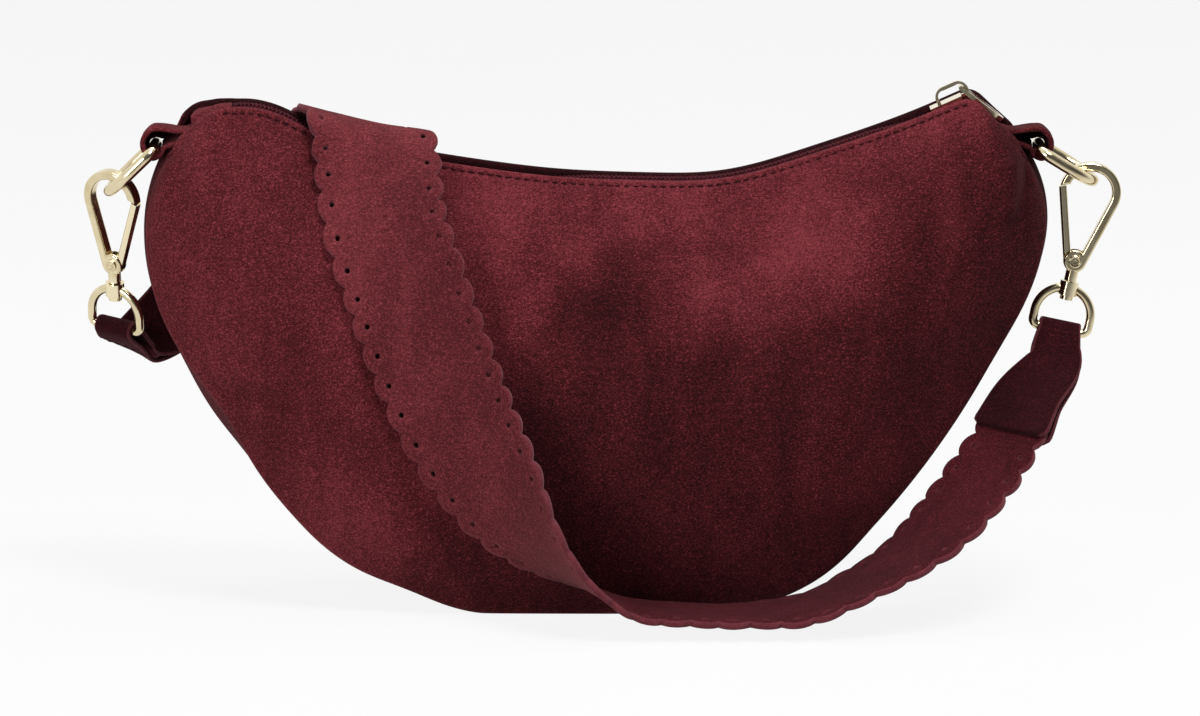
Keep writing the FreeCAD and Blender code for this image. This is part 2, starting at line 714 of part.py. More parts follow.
def make_hook(name):
    """A teardrop with a window open on the gate's side, a slotted base and a neck."""
    body = new_body(f"{name}_hook_body")
    base = S["hook_base"]
    bow = S["hook_bow"]
    bar = S["hook_bar"]
    top_of_bow = S["hook_height"]
    straight = math.sqrt(top_of_bow ** 2 - (bow - base) ** 2)
    shape = [
        (on_side(1, base, 0), on_side(1, base, straight)),
        (on_side(1, base, straight), (0, top_of_bow + bow), on_side(-1, base, straight)),
        (on_side(-1, base, straight), on_side(-1, base, 0)),
        (on_side(-1, base, 0), (0, -base), on_side(1, base, 0)),
    ]
    face = outline(body, "hook_face", "XZ_Plane", shape)
    feature(body, "Pad", face, Length="Sizes.hook_depth", Midplane=True)

    inner = bow - bar
    foot = at_radius(1, base - bar, base)
    nose = polar(inner, S["nose_angle"], top_of_bow)
    reach = nose_radius()
    nose_turn = math.degrees(math.atan2(nose[1], nose[0]))
    clear_turn = nose_turn + 25
    foot_turn = math.degrees(math.atan2(foot[1], foot[0]))
    left_turn = 180 + hook_lean()
    outside = polar(base + bar, left_turn)
    window = [
        (foot, on_side(1, base - bar, straight)),
        (on_side(1, base - bar, straight), (0, top_of_bow + inner), nose),
        (nose, polar(reach, (nose_turn + clear_turn) / 2), polar(reach, clear_turn)),
        (polar(reach, clear_turn), outside),
        (outside, polar(base, left_turn)),
        (polar(base, left_turn), polar(base, (left_turn + foot_turn) / 2), foot),
    ]
    hole = outline(body, "hook_window", "XZ_Plane", window)
    cut = feature(body, "Pocket", hole, Type="ThroughAll", Midplane=True)

    round_rims(body, cut, lambda line: any(is_arc(line, r) for r in (bow, inner, reach)))

    slot = circle(body, "tongue_slot", "XZ_Plane", "Sizes.hook_base + 2 * Sizes.gate_gap")
    feature(body, "Pocket", slot, Length="Sizes.tongue_depth + 2 * Sizes.tongue_clear", Midplane=True)
    foot_level = "-(Sizes.hook_base + Sizes.hook_neck)"
    neck = circle(body, "neck", "XY_Plane", "Sizes.neck_radius", foot_level)
    neck_length = "Sizes.hook_neck + Sizes.hook_base - Sizes.tongue_radius - Sizes.gate_gap"
    feature(body, "Pad", neck, Length=neck_length)
    bore = circle(body, "stud_bore", "XY_Plane", "Sizes.stud_radius", foot_level)
    feature(body, "Pocket", bore, Length="Sizes.stud_grip", Reversed=True)
    hole = circle(body, "rivet_hole", "XZ_Plane", "Sizes.rivet_radius")
    feature(body, "Pocket", hole, Type="ThroughAll", Midplane=True)
    place_on_clip(body, name, rivet_height())


def make_gate(name):
    """The gate's bar, its thin tongue in the slot of the base, and the rivet's bore."""
    body = new_body(f"{name}_hook_gate")
    base = S["hook_base"]
    inner = base - S["gate_width"]
    low = base + S["gate_gap"]
    high = nose_radius() - S["gate_gap"]
    corners = [at_radius(-1, inner, low), at_radius(-1, inner, high), at_radius(-1, base, high),
               at_radius(-1, base, base + S["gate_gap"])]
    tip_turn = math.degrees(math.atan2(corners[1][1] + corners[2][1], corners[1][0] + corners[2][0]))
    foot_turn = math.degrees(math.atan2(corners[0][1] + corners[3][1], corners[0][0] + corners[3][0]))
    bar = [
        (corners[0], corners[1]),
        (corners[1], polar(high, tip_turn), corners[2]),
        (corners[2], corners[3]),
        (corners[3], polar(low, foot_turn), corners[0]),
    ]
    face = outline(body, "gate_bar", "XZ_Plane", bar)
    padded = feature(body, "Pad", face, Length="Sizes.gate_depth", Midplane=True)
    round_rims(body, padded, lambda line: line.Curve.TypeId == "Part::GeomLine")

    tongue = S["tongue_radius"]
    top_of_tongue = base + S["gate_width"]
    root = at_radius(-1, inner, tongue)
    outer = on_side(-1, tongue, 0)
    tongue_face = [
        (root, on_side(-1, inner, top_of_tongue)),
        (on_side(-1, inner, top_of_tongue), on_side(-1, tongue, top_of_tongue)),
        (on_side(-1, tongue, top_of_tongue), outer),
        (outer, polar(tongue, -45), root),
    ]
    face = outline(body, "gate_tongue", "XZ_Plane", tongue_face)
    feature(body, "Pad", face, Length="Sizes.tongue_depth", Midplane=True)
    bore = circle(body, "gate_bore", "XZ_Plane", "Sizes.rivet_radius + Sizes.pin_clear")
    feature(body, "Pocket", bore, Type="ThroughAll", Midplane=True)
    place_on_clip(body, name, rivet_height())


def revolve_round(label, role, profile):
    """A turned piece: (radius, height) points about the sketch's vertical axis."""
    body = new_body(label)
    sketch = outline(body, f"{label}_profile", role, closed(profile))
    feature(body, "Revolution", sketch, ReferenceAxis=(sketch, ["V_Axis"]), Angle=360)
    return body


def make_rivet(name):
    """A pin with a head on each cheek of the hook's base."""
    cheek = S["hook_depth"] / 2
    end = cheek + S["rivet_rise"]
    shaft = S["rivet_radius"]
    head = S["rivet_head"]
    profile = [(0, -end), (head, -end), (head, -cheek), (shaft, -cheek)]
    profile += [(radius, -height) for radius, height in reversed(profile)]
    rivet = revolve_round(f"{name}_gate_rivet", "XY_Plane", profile)
    place_on_clip(rivet, name, rivet_height())


def make_spring(name):
    """A leaf spring in the slot of the base, beside the gate's tongue."""
    leaf = doc.addObject("Part::Box", f"{name}_gate_spring")
    leaf.Label = f"{name}_gate_spring"
    leaf.setExpression("Length", "Sizes.spring_leaf")
    leaf.setExpression("Width", "Sizes.tongue_depth")
    leaf.setExpression("Height", "Sizes.spring_length")
    bar, spine, axis = clip_frame(name)
    corner = spine * (S["tongue_radius"] + S["gate_gap"])
    corner += axis.cross(spine) * (-S["tongue_depth"] / 2)
    corner += axis * (rivet_height() - S["spring_length"] / 2)
    place(leaf, bar + corner, spine, axis)
    nodes.append(leaf)


def make_stud(name):
    """The stud through the eye's boss: a head below, a shaft up into the hook's neck."""
    under = -S["boss_height"] / 2 - S["swivel_gap"]
    top_end = S["boss_height"] / 2 + S["swivel_gap"] + S["stud_grip"]
    shaft = S["stud_radius"]
    head = S["stud_head"]
    profile = [(0, under - S["stud_head_height"]), (head, under - S["stud_head_height"]), (head, under)]
    profile += [(shaft, under), (shaft, top_end), (0, top_end)]
    stud = revolve_round(f"{name}_swivel_stud", "XZ_Plane", profile)
    place_on_clip(stud, name, S["eye_height"])


def make_eye(name):
    """A D-shaped eye with a straight bar and a bored boss on top."""
    body = new_body(f"{name}_strap_eye")
    half = (S["eye_inside"] + S["eye_wire"]) / 2
    bend = S["eye_corner"]
    slant = bend * (1 - cosine(45))
    limb = S["eye_height"] - half
    diagonal = half * cosine(45)
    spine = [
        ((0, 0), (half - bend, 0)),
        ((half - bend, 0), (half - slant, slant), (half, bend)),
        ((half, bend), (half, limb)),
        ((half, limb), (diagonal, limb + diagonal), (0, limb + half)),
        ((0, limb + half), (-diagonal, limb + diagonal), (-half, limb)),
        ((-half, limb), (-half, bend)),
        ((-half, bend), (-half + slant, slant), (-half + bend, 0)),
        ((-half + bend, 0), (0, 0)),
    ]
    path = outline(body, "eye_path", "XZ_Plane", spine)
    pipe(body, "wire", path, "Sizes.eye_wire / 2", "YZ_Plane")
    boss_level = "Sizes.eye_height - Sizes.boss_height / 2"
    boss = circle(body, "boss", "XY_Plane", "Sizes.boss_radius", boss_level)
    feature(body, "Pad", boss, Length="Sizes.boss_height")
    bore = circle(body, "boss_bore", "XY_Plane", "Sizes.stud_radius + Sizes.pin_clear", boss_level)
    feature(body, "Pocket", bore, Length="Sizes.boss_height", Reversed=True)
    place_on_clip(body, name, 0)


def strap_route():
    """Hand-chosen stations from the left eye to the right one: point and direction across the strap.

    Stations on the bag's front take their depth from the panel below them.
    """
    left_bar, left_spine, left_axis = clip_frame("left")
    right_bar, right_spine, right_axis = clip_frame("right")
    lift = S["strap_lift"] + S["strap_thickness"] / 2
    half_strap = S["strap_width"] / 2
    half_bag = S["bag_width"] / 2
    crest = top.at(-0.55 * top_length)[0]
    left_start = left_bar - left_axis * 4.5 - left_axis.cross(left_spine) * 4
    right_start = right_bar - right_axis * 6 - right_axis.cross(right_spine) * 3
    right_next = right_bar - right_axis * 13 - right_axis.cross(right_spine) * 8

    def on_front(x, z, across):
        """A station at a share of the bag's half width, just clear of the panel below it."""
        across.normalize()
        depth = 0.0
        for part in (-1, -0.5, 0, 0.5, 1):
            edge = across * (part * half_strap)
            depth = max(depth, depth_at(x * half_bag + edge.x, z + edge.z) + edge.y)
        return V(x * half_bag, -depth - lift, z), across

    def by_eye(x, y, z, across):
        """A station measured from the right eye's bar."""
        return right_bar + V(x, y, z), across

    route = [
        (left_bar, -left_spine),
        (left_start, -left_spine),
        (left_bar + V(6, 14, -7.5), V(0.85, -0.35, -0.4)),
        (left_bar + V(17, 20, -1), V(0.72, -0.1, -0.68)),
        (left_bar + V(35, 20, 15), V(0.68, 0, -0.74)),
        (left_bar + V(54, 17, 33), V(0.7, 0.05, -0.71)),
        (crest + V(-15, 27, -17), V(0.8, 0.1, -0.58)),
        (crest + V(-5, 13, 1), V(0.92, 0.05, -0.35)),
        (crest + V(0, 0, 6.5), V(0.97, 0, -0.23)),
        (crest + V(5, -13.5, 2), V(0.97, -0.05, -0.1)),
        on_front(-0.47, 141, V(0.97, -0.12, 0.2)),
        on_front(-0.42, 118, V(0.96, -0.12, 0.25)),
        on_front(-0.365, 94, V(0.95, -0.15, 0.3)),
        on_front(-0.3, 71, V(0.9, -0.3, 0.36)),
        on_front(-0.22, 50, V(0.74, -0.55, 0.36)),
        on_front(-0.14, 33, V(0.5, -0.8, 0.3)),
        on_front(-0.045, 19, V(0.25, -0.95, 0.15)),
        on_front(0.07, 8.5, V(0.06, -1, 0)),
        (V(0.2 * half_bag, -60.5, 6.2), V(0, -1, -0.05)),
        (V(0.33 * half_bag, -60.5, 5.6), V(0, -1, -0.06)),
        (V(0.46 * half_bag, -60, 7.8), V(0.03, -0.99, -0.1)),
        by_eye(-77, -58.5, -83, V(0.06, -0.98, -0.13)),
        by_eye(-61.5, -55.5, -75, V(0.09, -0.975, -0.15)),
        by_eye(-50, -52, -67, V(0.19, -0.955, -0.23)),
        by_eye(-41, -47.5, -59, V(0.28, -0.92, -0.27)),
        by_eye(-33.5, -42, -51, V(0.36, -0.885, -0.3)),
        by_eye(-26.2, -35.5, -42.5, V(0.52, -0.8, -0.3)),
        by_eye(-18.6, -27.3, -32.6, V(0.62, -0.72, -0.32)),
        by_eye(-11.9, -17.6, -22.2, V(0.78, -0.54, -0.33)),
        (right_next, V(0.92, -0.2, -0.3)),
        (right_start, right_spine),
        (right_bar, right_spine),
    ]
    return route


def smooth(route, steps):
    """A Catmull-Rom curve through the stations, with the direction across carried along."""
    stations = []
    count = len(route)
    for k in range(count - 1):
        around = [route[min(max(k + step, 0), count - 1)] for step in (-1, 0, 1, 2)]
        for part in range(steps):
            t = part / steps
            weights = [
                (-t + 2 * t ** 2 - t ** 3) / 2,
                (2 - 5 * t ** 2 + 3 * t ** 3) / 2,
                (t + 4 * t ** 2 - 3 * t ** 3) / 2,
                (-t ** 2 + t ** 3) / 2,
            ]
            point = sum((spot * w for (spot, across), w in zip(around, weights)), V())
            across = sum((across * w for (spot, across), w in zip(around, weights)), V())
            stations.append((point, across))
    return stations + [route[-1]]


def ribbon_frames(stations):
    """Point, direction across, normal and distance along, at each station."""
    frames = []
    distance = 0.0
    for k, (point, across) in enumerate(stations):
        before = stations[max(k - 1, 0)][0]
        after = stations[min(k + 1, len(stations) - 1)][0]
        along = (after - before).normalize()
        side_way = (across - along * across.dot(along)).normalize()
        if k:
            distance += (point - stations[k - 1][0]).Length
        frames.append((point, side_way, along.cross(side_way), distance))
    return frames


def ribbon(frames, width, offset, thickness):
    """A flat band through the frames; width and offset are functions of the distance along."""
    wires = []
    for point, across, normal, distance in frames:
        half = across * (width(distance) / 2)
        near = point + normal * (offset(distance) - thickness / 2)
        far = near + normal * thickness
        wires.append(Part.makePolygon([near - half, near + half, far + half, far - half, near - half]))
    return Part.makeLoft(wires, True, True)


def between(value, start, end, first, last):
    """A value that goes from first to last as another goes from start to end."""
    share = min(max((value - start) / (end - start), 0.0), 1.0)
    return first + (last - first) * share


def make_strap():
    """The strap and the two folded tabs that hold the eyes' bars."""
    frames = ribbon_frames(smooth(strap_route(), 3))
    total = frames[-1][3]
    bar = S["eye_wire"] / 2 + S["eye_clear"]
    tab = S["strap_tab_length"]
    flap = S["flap"]

    def strap_width(distance):
        from_end = min(distance, total - distance)
        if from_end < tab:
            return between(from_end, 0, tab, S["strap_tab_narrow"] - flap, S["strap_end_width"])
        return between(from_end, tab, tab + S["strap_taper"], S["strap_end_width"], S["strap_width"])

    inside = [f for f in frames if bar + 1 < f[3] < total - bar - 1]
    add_shape("strap", ribbon(inside, strap_width, lambda d: 0, S["strap_thickness"]))
    print("strap length", round(total, 1))

    for name, ordered in (("left", frames), ("right", list(reversed(frames)))):
        start = ordered[0][3]
        near = [(p, a, n, abs(d - start)) for p, a, n, d in ordered if abs(d - start) <= tab]
        loose = S["strap_thickness"] / 2 + S["flap_gap"] + flap / 2

        def tab_width(distance):
            return between(distance, 0, tab, S["strap_tab_narrow"], S["strap_tab_wide"])

        def spread(distance):
            return between(distance, 2 * bar, 5 * bar, bar + flap / 2, loose)

        pieces = [ribbon(near, tab_width, lambda d: sign * spread(d), flap) for sign in (-1, 1)]
        point, across, normal, _ = near[0]
        away = (near[0][0] - near[1][0]).normalize()
        half = across * (tab_width(0) / 2)
        edges = []
        for radius, order in ((bar, 1), (bar + flap, -1)):
            spots = [point + normal * radius, point + away * radius, point - normal * radius]
            edges.append(Part.Arc(*spots[::order]).toShape())
        edges.insert(1, Part.makeLine(point - normal * bar, point - normal * (bar + flap)))
        edges.append(Part.makeLine(point + normal * (bar + flap), point + normal * bar))
        fold = Part.Face(Part.Wire(edges))
        fold.translate(-half)
        pieces.append(fold.extrude(half * 2))
        whole = pieces[0].fuse(pieces[1:])
        add_shape(f"{name}_strap_tab", whole)


def joint_lines():
    """Point and direction of each joint's axis."""
    across = V(0, 1, 0)
    point, along, normal = slider_frame()
    offset = pull_bar_offset()
    lines = {
        "zip_slider_travel": (zip_centre, across),
        "zip_pull_swing": (point + along * offset.x + normal * offset.z, -across),
    }
    for name, sign in SIDES.items():
        bar, spine, axis = clip_frame(name)
        lines[f"{name}_ring_swing"] = (ring_bar(name)[0], across * -sign)
        lines[f"{name}_eye_swing"] = (bar, spine * sign)
        lines[f"{name}_hook_swivel"] = (bar + axis * S["eye_height"], axis)
        lines[f"{name}_gate_swing"] = (bar + axis * rivet_height(), axis.cross(spine))
    return lines


make_body_pieces()
make_zip()
make_slider()
make_pull()
for side_name in SIDES:
    make_ring_tab(side_name)
    make_ring(side_name)
    make_hook(side_name)
    make_gate(side_name)
    make_rivet(side_name)
    make_spring(side_name)
    make_stud(side_name)
    make_eye(side_name)
make_strap()
doc.recompute()

for made in doc.Objects:
    if "Invalid" in made.State or "Error" in made.State:
        raise RuntimeError(f"{made.Label} failed: {made.State}")
for node in nodes:
    if node.Shape.isNull() or not node.Shape.isValid() or len(node.Shape.Solids) != 1:
        raise RuntimeError(f"{node.Label} has no valid single solid")

os.makedirs("parts", exist_ok=True)
for node in nodes:
    node.Shape.exportStep(f"parts/{node.Label}.step")
print(len(nodes), "nodes")
for name, (point, axis) in joint_lines().items():
    print("joint", name, *(round(value, 4) for value in (*point, *axis)))
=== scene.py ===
import bisect
import json
import math
from types import SimpleNamespace

import bpy
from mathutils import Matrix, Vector, noise


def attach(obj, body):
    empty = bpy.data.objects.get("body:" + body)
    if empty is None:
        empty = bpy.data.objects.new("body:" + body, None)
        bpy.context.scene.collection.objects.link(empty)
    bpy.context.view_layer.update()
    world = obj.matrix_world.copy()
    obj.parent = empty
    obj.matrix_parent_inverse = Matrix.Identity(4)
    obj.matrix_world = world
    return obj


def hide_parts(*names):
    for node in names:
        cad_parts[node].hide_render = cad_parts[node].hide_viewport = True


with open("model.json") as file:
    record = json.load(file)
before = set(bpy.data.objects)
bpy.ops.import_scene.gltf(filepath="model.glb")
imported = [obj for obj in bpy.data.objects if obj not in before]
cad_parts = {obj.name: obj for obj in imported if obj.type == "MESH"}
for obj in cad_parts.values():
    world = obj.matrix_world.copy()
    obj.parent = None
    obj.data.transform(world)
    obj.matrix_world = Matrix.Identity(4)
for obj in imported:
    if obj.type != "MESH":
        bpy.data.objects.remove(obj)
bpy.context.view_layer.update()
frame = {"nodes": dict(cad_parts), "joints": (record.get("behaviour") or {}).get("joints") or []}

V = Vector
MM = 0.001
SIDES = {"left": -1, "right": 1}

# Sizes in millimetres and degrees, the same as the part's
S = SimpleNamespace(
    bag_width=320, heel_radius=95, heel_turn=46, flank_radius=282, flank_turn=18,
    hip_radius=79, corner_radius=48.6, corner_turn=33.4, end_gap=10.5, end_lean=121,
    zip_radius=305, shoulder_radius=6, shoulder_slope=43, shoulder_length=13.5,
    gusset_width=68, end_width=22, zip_gap=16, fullness=0.145, seam_inset=0.6,
    zip_drop=2, tab_slope=22, tab_outside=9.5, tab_inside=7, tab_width=18,
    ring_wire=4.2, ring_clear=0.25, tab_layer=1.8,
    strap_width=45, strap_end_width=28, strap_thickness=2.4, strap_taper=60,
    strap_tab_length=48, strap_tab_narrow=15, strap_tab_wide=31, flap=1.6, flap_gap=0.15,
    eye_bar=1.9, pocket_reach=62,
)


def vec(x, y, z):
    return V((x, y, z))


def sine(degrees):
    return math.sin(math.radians(degrees))


def cosine(degrees):
    return math.cos(math.radians(degrees))


def clamp(share):
    return min(max(share, 0.0), 1.0)


def ease(value, start, end):
    """A smooth step from 0 to 1."""
    share = clamp((value - start) / (end - start))
    return share * share * (3 - 2 * share)


def between(value, start, end, first, last):
    return first + (last - first) * clamp((value - start) / (end - start))


def hump(value, middle, width):
    """A smooth bump of height 1."""
    gap = (value - middle) / width
    return math.exp(-gap * gap)


def straight(length):
    return length, 0.0


def arc(radius, turn):
    return radius * math.radians(abs(turn)), math.radians(turn)


class Chain:
    """Straight runs and tangent arcs in the XZ plane, from its middle, mirrored for negative distances."""

    def __init__(self, z, *runs):
        self.z = z
        self.runs = runs
        self.length = sum(length for length, turn in runs)

    def at(self, distance):
        left = abs(distance)
        x = 0.0
        z = self.z
        heading = 0.0
        for length, turn in self.runs:
            part = min(left, length)
            half = turn * part / length / 2
            step = part if abs(half) < 1e-9 else part * math.sin(half) / half
            x += step * math.cos(heading + half)
            z += step * math.sin(heading + half)
            heading += 2 * half
            left -= part
        sign = -1 if distance < 0 else 1
        return vec(sign * x, 0, z), vec(sign * math.cos(heading), 0, math.sin(heading))


def side_chain():
    """The lower outline of the bag, from the middle of the base to the ring tab."""
    hip_start = S.heel_turn + S.flank_turn
    reach = S.heel_radius * sine(S.heel_turn)
    reach += S.flank_radius * (sine(hip_start) - sine(S.heel_turn))
    reach += S.hip_radius * (1 - sine(hip_start))
    return Chain(
        0, straight(S.bag_width / 2 - reach), arc(S.heel_radius, S.heel_turn),
        arc(S.flank_radius, S.flank_turn), arc(S.hip_radius, 90 - hip_start),
        arc(S.corner_radius, S.corner_turn))


def top_chain(low_end):
    """The top edge: the zip's hollow curve, the shoulder and the slope down to the ring tab."""
    end = low_end + vec(cosine(S.end_lean), 0, sine(S.end_lean)) * S.end_gap
    slope = S.shoulder_slope
    span = end.x - S.shoulder_radius * sine(slope) - S.shoulder_length * cosine(slope)
    half = math.degrees(math.asin(span / (S.zip_radius + S.shoulder_radius)))
    rise = S.zip_radius * (1 - cosine(half))
    rise += S.shoulder_radius * (cosine(slope) - cosine(half)) - S.shoulder_length * sine(slope)
    chain = Chain(end.z - rise, arc(S.zip_radius, half), arc(S.shoulder_radius, -half - slope),
                  straight(S.shoulder_length))
    return chain, (low_end + end) / 2, half


side = side_chain()
top, open_end, zip_half = top_chain(side.at(side.length)[0])
zip_length = top.runs[0][0]
zip_centre = vec(0, 0, top.z + S.zip_radius)


def seam_depth(u):
    return S.end_width / 2 + (S.gusset_width - S.end_width) / 2 * math.cos(math.pi / 2 * abs(u))


def rim_depth(u):
    return S.zip_gap / 2 + (S.end_width - S.zip_gap) / 2 * abs(u) ** 6


def rib_ends(u):
    """Top and bottom of a panel's rib, in the XZ plane."""
    high = top.at(u * top.length)[0]
    low, heading = side.at(u * side.length)
    low = low + vec(-heading.z, 0, heading.x) * math.copysign(S.seam_inset, u)
    return high, low


def lobe(a):
    """How far a rib bellies out along its length, 1 at the fullest, a little below the middle."""
    return a ** 1.06 * (1 - a) ** 0.94 / (0.53 ** 1.06 * 0.47 ** 0.94)


def skin(u, a):
    """A point of the front panel's outer face, without its dents."""
    high, low = rib_ends(u)
    spot = high.lerp(low, a)
    swell = S.fullness * (high - low).length
    spot.y = -(rim_depth(u) * (1 - a) + seam_depth(u) * a + swell * lobe(clamp(a)))
    return spot


def share_at(x, z):
    """The rib share and place along the rib of a point of the front, seen from the front."""
    low = -1.0
    high = 1.0
    for _ in range(40):
        share = (low + high) / 2
        head, foot = rib_ends(share)
        line = foot - head
        turn = line.z * (x - head.x) - line.x * (z - head.z)
        if turn > 0:
            high = share
        else:
            low = share
    head, foot = rib_ends(low)
    return low, clamp((head.z - z) / (head.z - foot.z))


# Sewing: the hem's distance from the zip edge, size and spacing of the stitches, and the hem's groove
HEM = 1.4
STITCH = 2.4
STITCH_PITCH = 3.4
THREAD_RADIUS = 0.36
TAB_STITCH_GAP = 0.9
TAB_THREAD_RADIUS = 0.3
GROOVE_DEPTH = 0.8
GROOVE_WIDTH = 0.9

# Thicknesses, and how far the panels stay off the floor
PANEL_THICKNESS = 1.2
CLOTH = 0.5
FLOOR_GAP = 0.1

# Dents of the panels, seen from the front: x and z of start and end, width and depth.
# Those with a negative depth stand out
FRONT_DENTS = [
    (151.5, 164, 151.5, 154, 2.2, 3.0),
    (150.5, 150, 148, 137, 4.0, 1.3),
    (147.3, 162, 146, 147, 2.8, -3.0),
    (145, 146, 138, 130, 6.0, -1.0),
    (-149, 168, -147, 148, 4.0, 2.2),
    (-141, 166, -136, 140, 7.0, -1.0),
    (60, 118, 110, 106, 12.0, 1.2),
    (-60, 40, -100, 70, 12.0, 1.2),
    (-140, 78.5, -116, 77, 3.2, 1.5),
    (-138, 84.5, -112, 83, 4.5, -1.2),
]
BACK_DENTS = [
    (150, 168, 148, 148, 4.0, 2.4),
    (-150, 168, -148, 148, 4.0, 2.4),
    (-80, 120, -20, 104, 14.0, 1.4),
    (30, 60, 95, 88, 14.0, 1.4),
]


def dent(x, z, dents):
    total = 0.0
    for x0, z0, x1, z1, width, depth in dents:
        run = vec(x1 - x0, 0, z1 - z0)
        out = vec(x - x0, 0, z - z0)
        along = clamp(out.dot(run) / run.length_squared)
        total -= depth * hump((out - run * along).length, 0, width)
    return total


def relief(spot, front):
    """How far the suede stands out of, or sinks into, its smooth shape."""
    place = vec(spot.x, 0 if front else 400, spot.z)
    loose = noise.noise(place / 60) * 1.3 + noise.noise(place / 27) * 0.7 + noise.noise(place / 12) * 0.15
    return loose + dent(spot.x, spot.z, FRONT_DENTS if front else BACK_DENTS)


def panel_face(u, a, front):
    """A point of a panel's outer face with its dents, for either panel."""
    spot = skin(u, a)
    fade = ease(a, 0.0, 0.1) * (1 - ease(a, 0.94, 1.0)) * (1 - ease(abs(u), 0.985, 1.0))
    spot.y -= relief(spot, front) * fade
    if not front:
        spot.y = -spot.y
    return spot


def groove(u, distance):
    """How deep the stitches draw the suede in, at a distance from the zip edge."""
    pucker = 0.7 + 0.3 * math.sin(u * top.length * 2 * math.pi / STITCH_PITCH)
    return GROOVE_DEPTH * pucker * hump(distance, HEM, GROOVE_WIDTH) * (1 - ease(abs(u), 0.86, 0.9))


# Places where the front seam is drawn in and shows the gusset: x, z, direction in degrees, depth and reach
TUCKS = [(-134, 72, 34, 3.2, 20), (-68, 8, 69, 2.2, 17)]

# Where, and by how much, the panels' zip edge rises. The coil stays low there for the slider's far limit
LIFT = 1.3
LIFT_X = -45
LIFT_REACH = 34


def tucked(p):
    """A point drawn in with the front seam. The rear half moves the other way, half as far."""
    moved = p.copy()
    for x, z, angle, depth, reach in TUCKS:
        drawn = ease(-p.y, 4, 27) - 0.5 * ease(p.y, -16, 4)
        shift = depth * hump(math.hypot(p.x - x, p.z - z), 0, reach) * drawn
        moved += vec(cosine(angle), 0, sine(angle)) * shift
    return moved


def settle(p):
    """Where a point of the soft bag lies. It leans to the left and its zip edge is uneven."""
    low_part = ease(p.z, 2, 32) * (1 - ease(p.z, 84, 150))
    lean = -(1.2 + 4.4 * ease(p.x, -40, 140)) * low_part
    edge = ease(p.z, 100, 150)
    front = ease(-p.y, 2, 7)
    back = ease(p.y, 2, 7)
    rise = LIFT * hump(p.x, LIFT_X, LIFT_REACH) - 3.0 * hump(p.x, 46, 28)
    rise += 1.6 * hump(p.x, -148, 8) - 3.9 * hump(p.x, -133.5, 7.5) + 1.4 * hump(p.x, -114, 9)
    rise += back * 1.8 * hump(p.x, -144, 7) - front * 3.2 * hump(p.x, -147, 7.5)
    rise -= (0.6 + 1.6 * front) * hump(p.x, 142, 10) + 0.7 * front
    return tucked(vec(p.x + lean, p.y, p.z + rise * edge))


def place_object(name, data):
    obj = bpy.data.objects.new(name, data)
    bpy.context.scene.collection.objects.link(obj)
    return obj


def new_object(name, points, faces, material, slot, *nodes, settled=False, body="bag"):
    mesh = bpy.data.meshes.new(name)
    if settled:
        points = [settle(p) for p in points]
    mesh.from_pydata([p * MM for p in points], [], faces)
    mesh.polygons.foreach_set("use_smooth", [True] * len(mesh.polygons))
    mesh.materials.append(material)
    mesh.update()
    obj = place_object(name, mesh)
    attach(obj, body)
    if nodes:
        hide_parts(*nodes)
    return obj


def grid_piece(name, rows, flip, material, slot, node):
    """A soft piece of the bag, from rows of points."""
    columns = len(rows[0])
    faces = []
    for i in range(len(rows) - 1):
        for j in range(columns - 1):
            a = i * columns + j
            face = (a, a + 1, a + columns + 1, a + columns)
            faces.append(face[::-1] if flip else face)
    return new_object(name, [p for line in rows for p in line], faces, material, slot, node, settled=True)


def heading_at(points, k):
    """The direction of a line of points at one of them."""
    return (points[min(k + 1, len(points) - 1)] - points[max(k - 1, 0)]).normalized()


def distances_along(points):
    """How far along a line each of its points is."""
    found = [0.0]
    for a, b in zip(points, points[1:]):
        found.append(found[-1] + (b - a).length)
    return found


def circle(hub, first, second, radius, sides):
    turns = [2 * math.pi * s / sides for s in range(sides)]
    return [hub + (first * math.cos(turn) + second * math.sin(turn)) * radius for turn in turns]


def tube_faces(rings, sides, start=0):
    """Faces of a closed tube: rings of points one after another, and a cap at each end."""
    faces = []
    for k in range(rings - 1):
        for s in range(sides):
            a = start + k * sides + s
            b = start + k * sides + (s + 1) % sides
            faces.append((a, b, b + sides, a + sides))
    faces.append(tuple(start + s for s in range(sides))[::-1])
    faces.append(tuple(start + (rings - 1) * sides + s for s in range(sides)))
    return faces


def thicken(obj, thickness, offset=-1.0):
    made = obj.modifiers.new("Thickness", "SOLIDIFY")
    made.thickness = thickness * MM
    made.offset = offset
    return obj


def soften(obj):
    made = obj.modifiers.new("Softness", "SUBSURF")
    made.levels = made.render_levels = 1
    return obj


# Materials


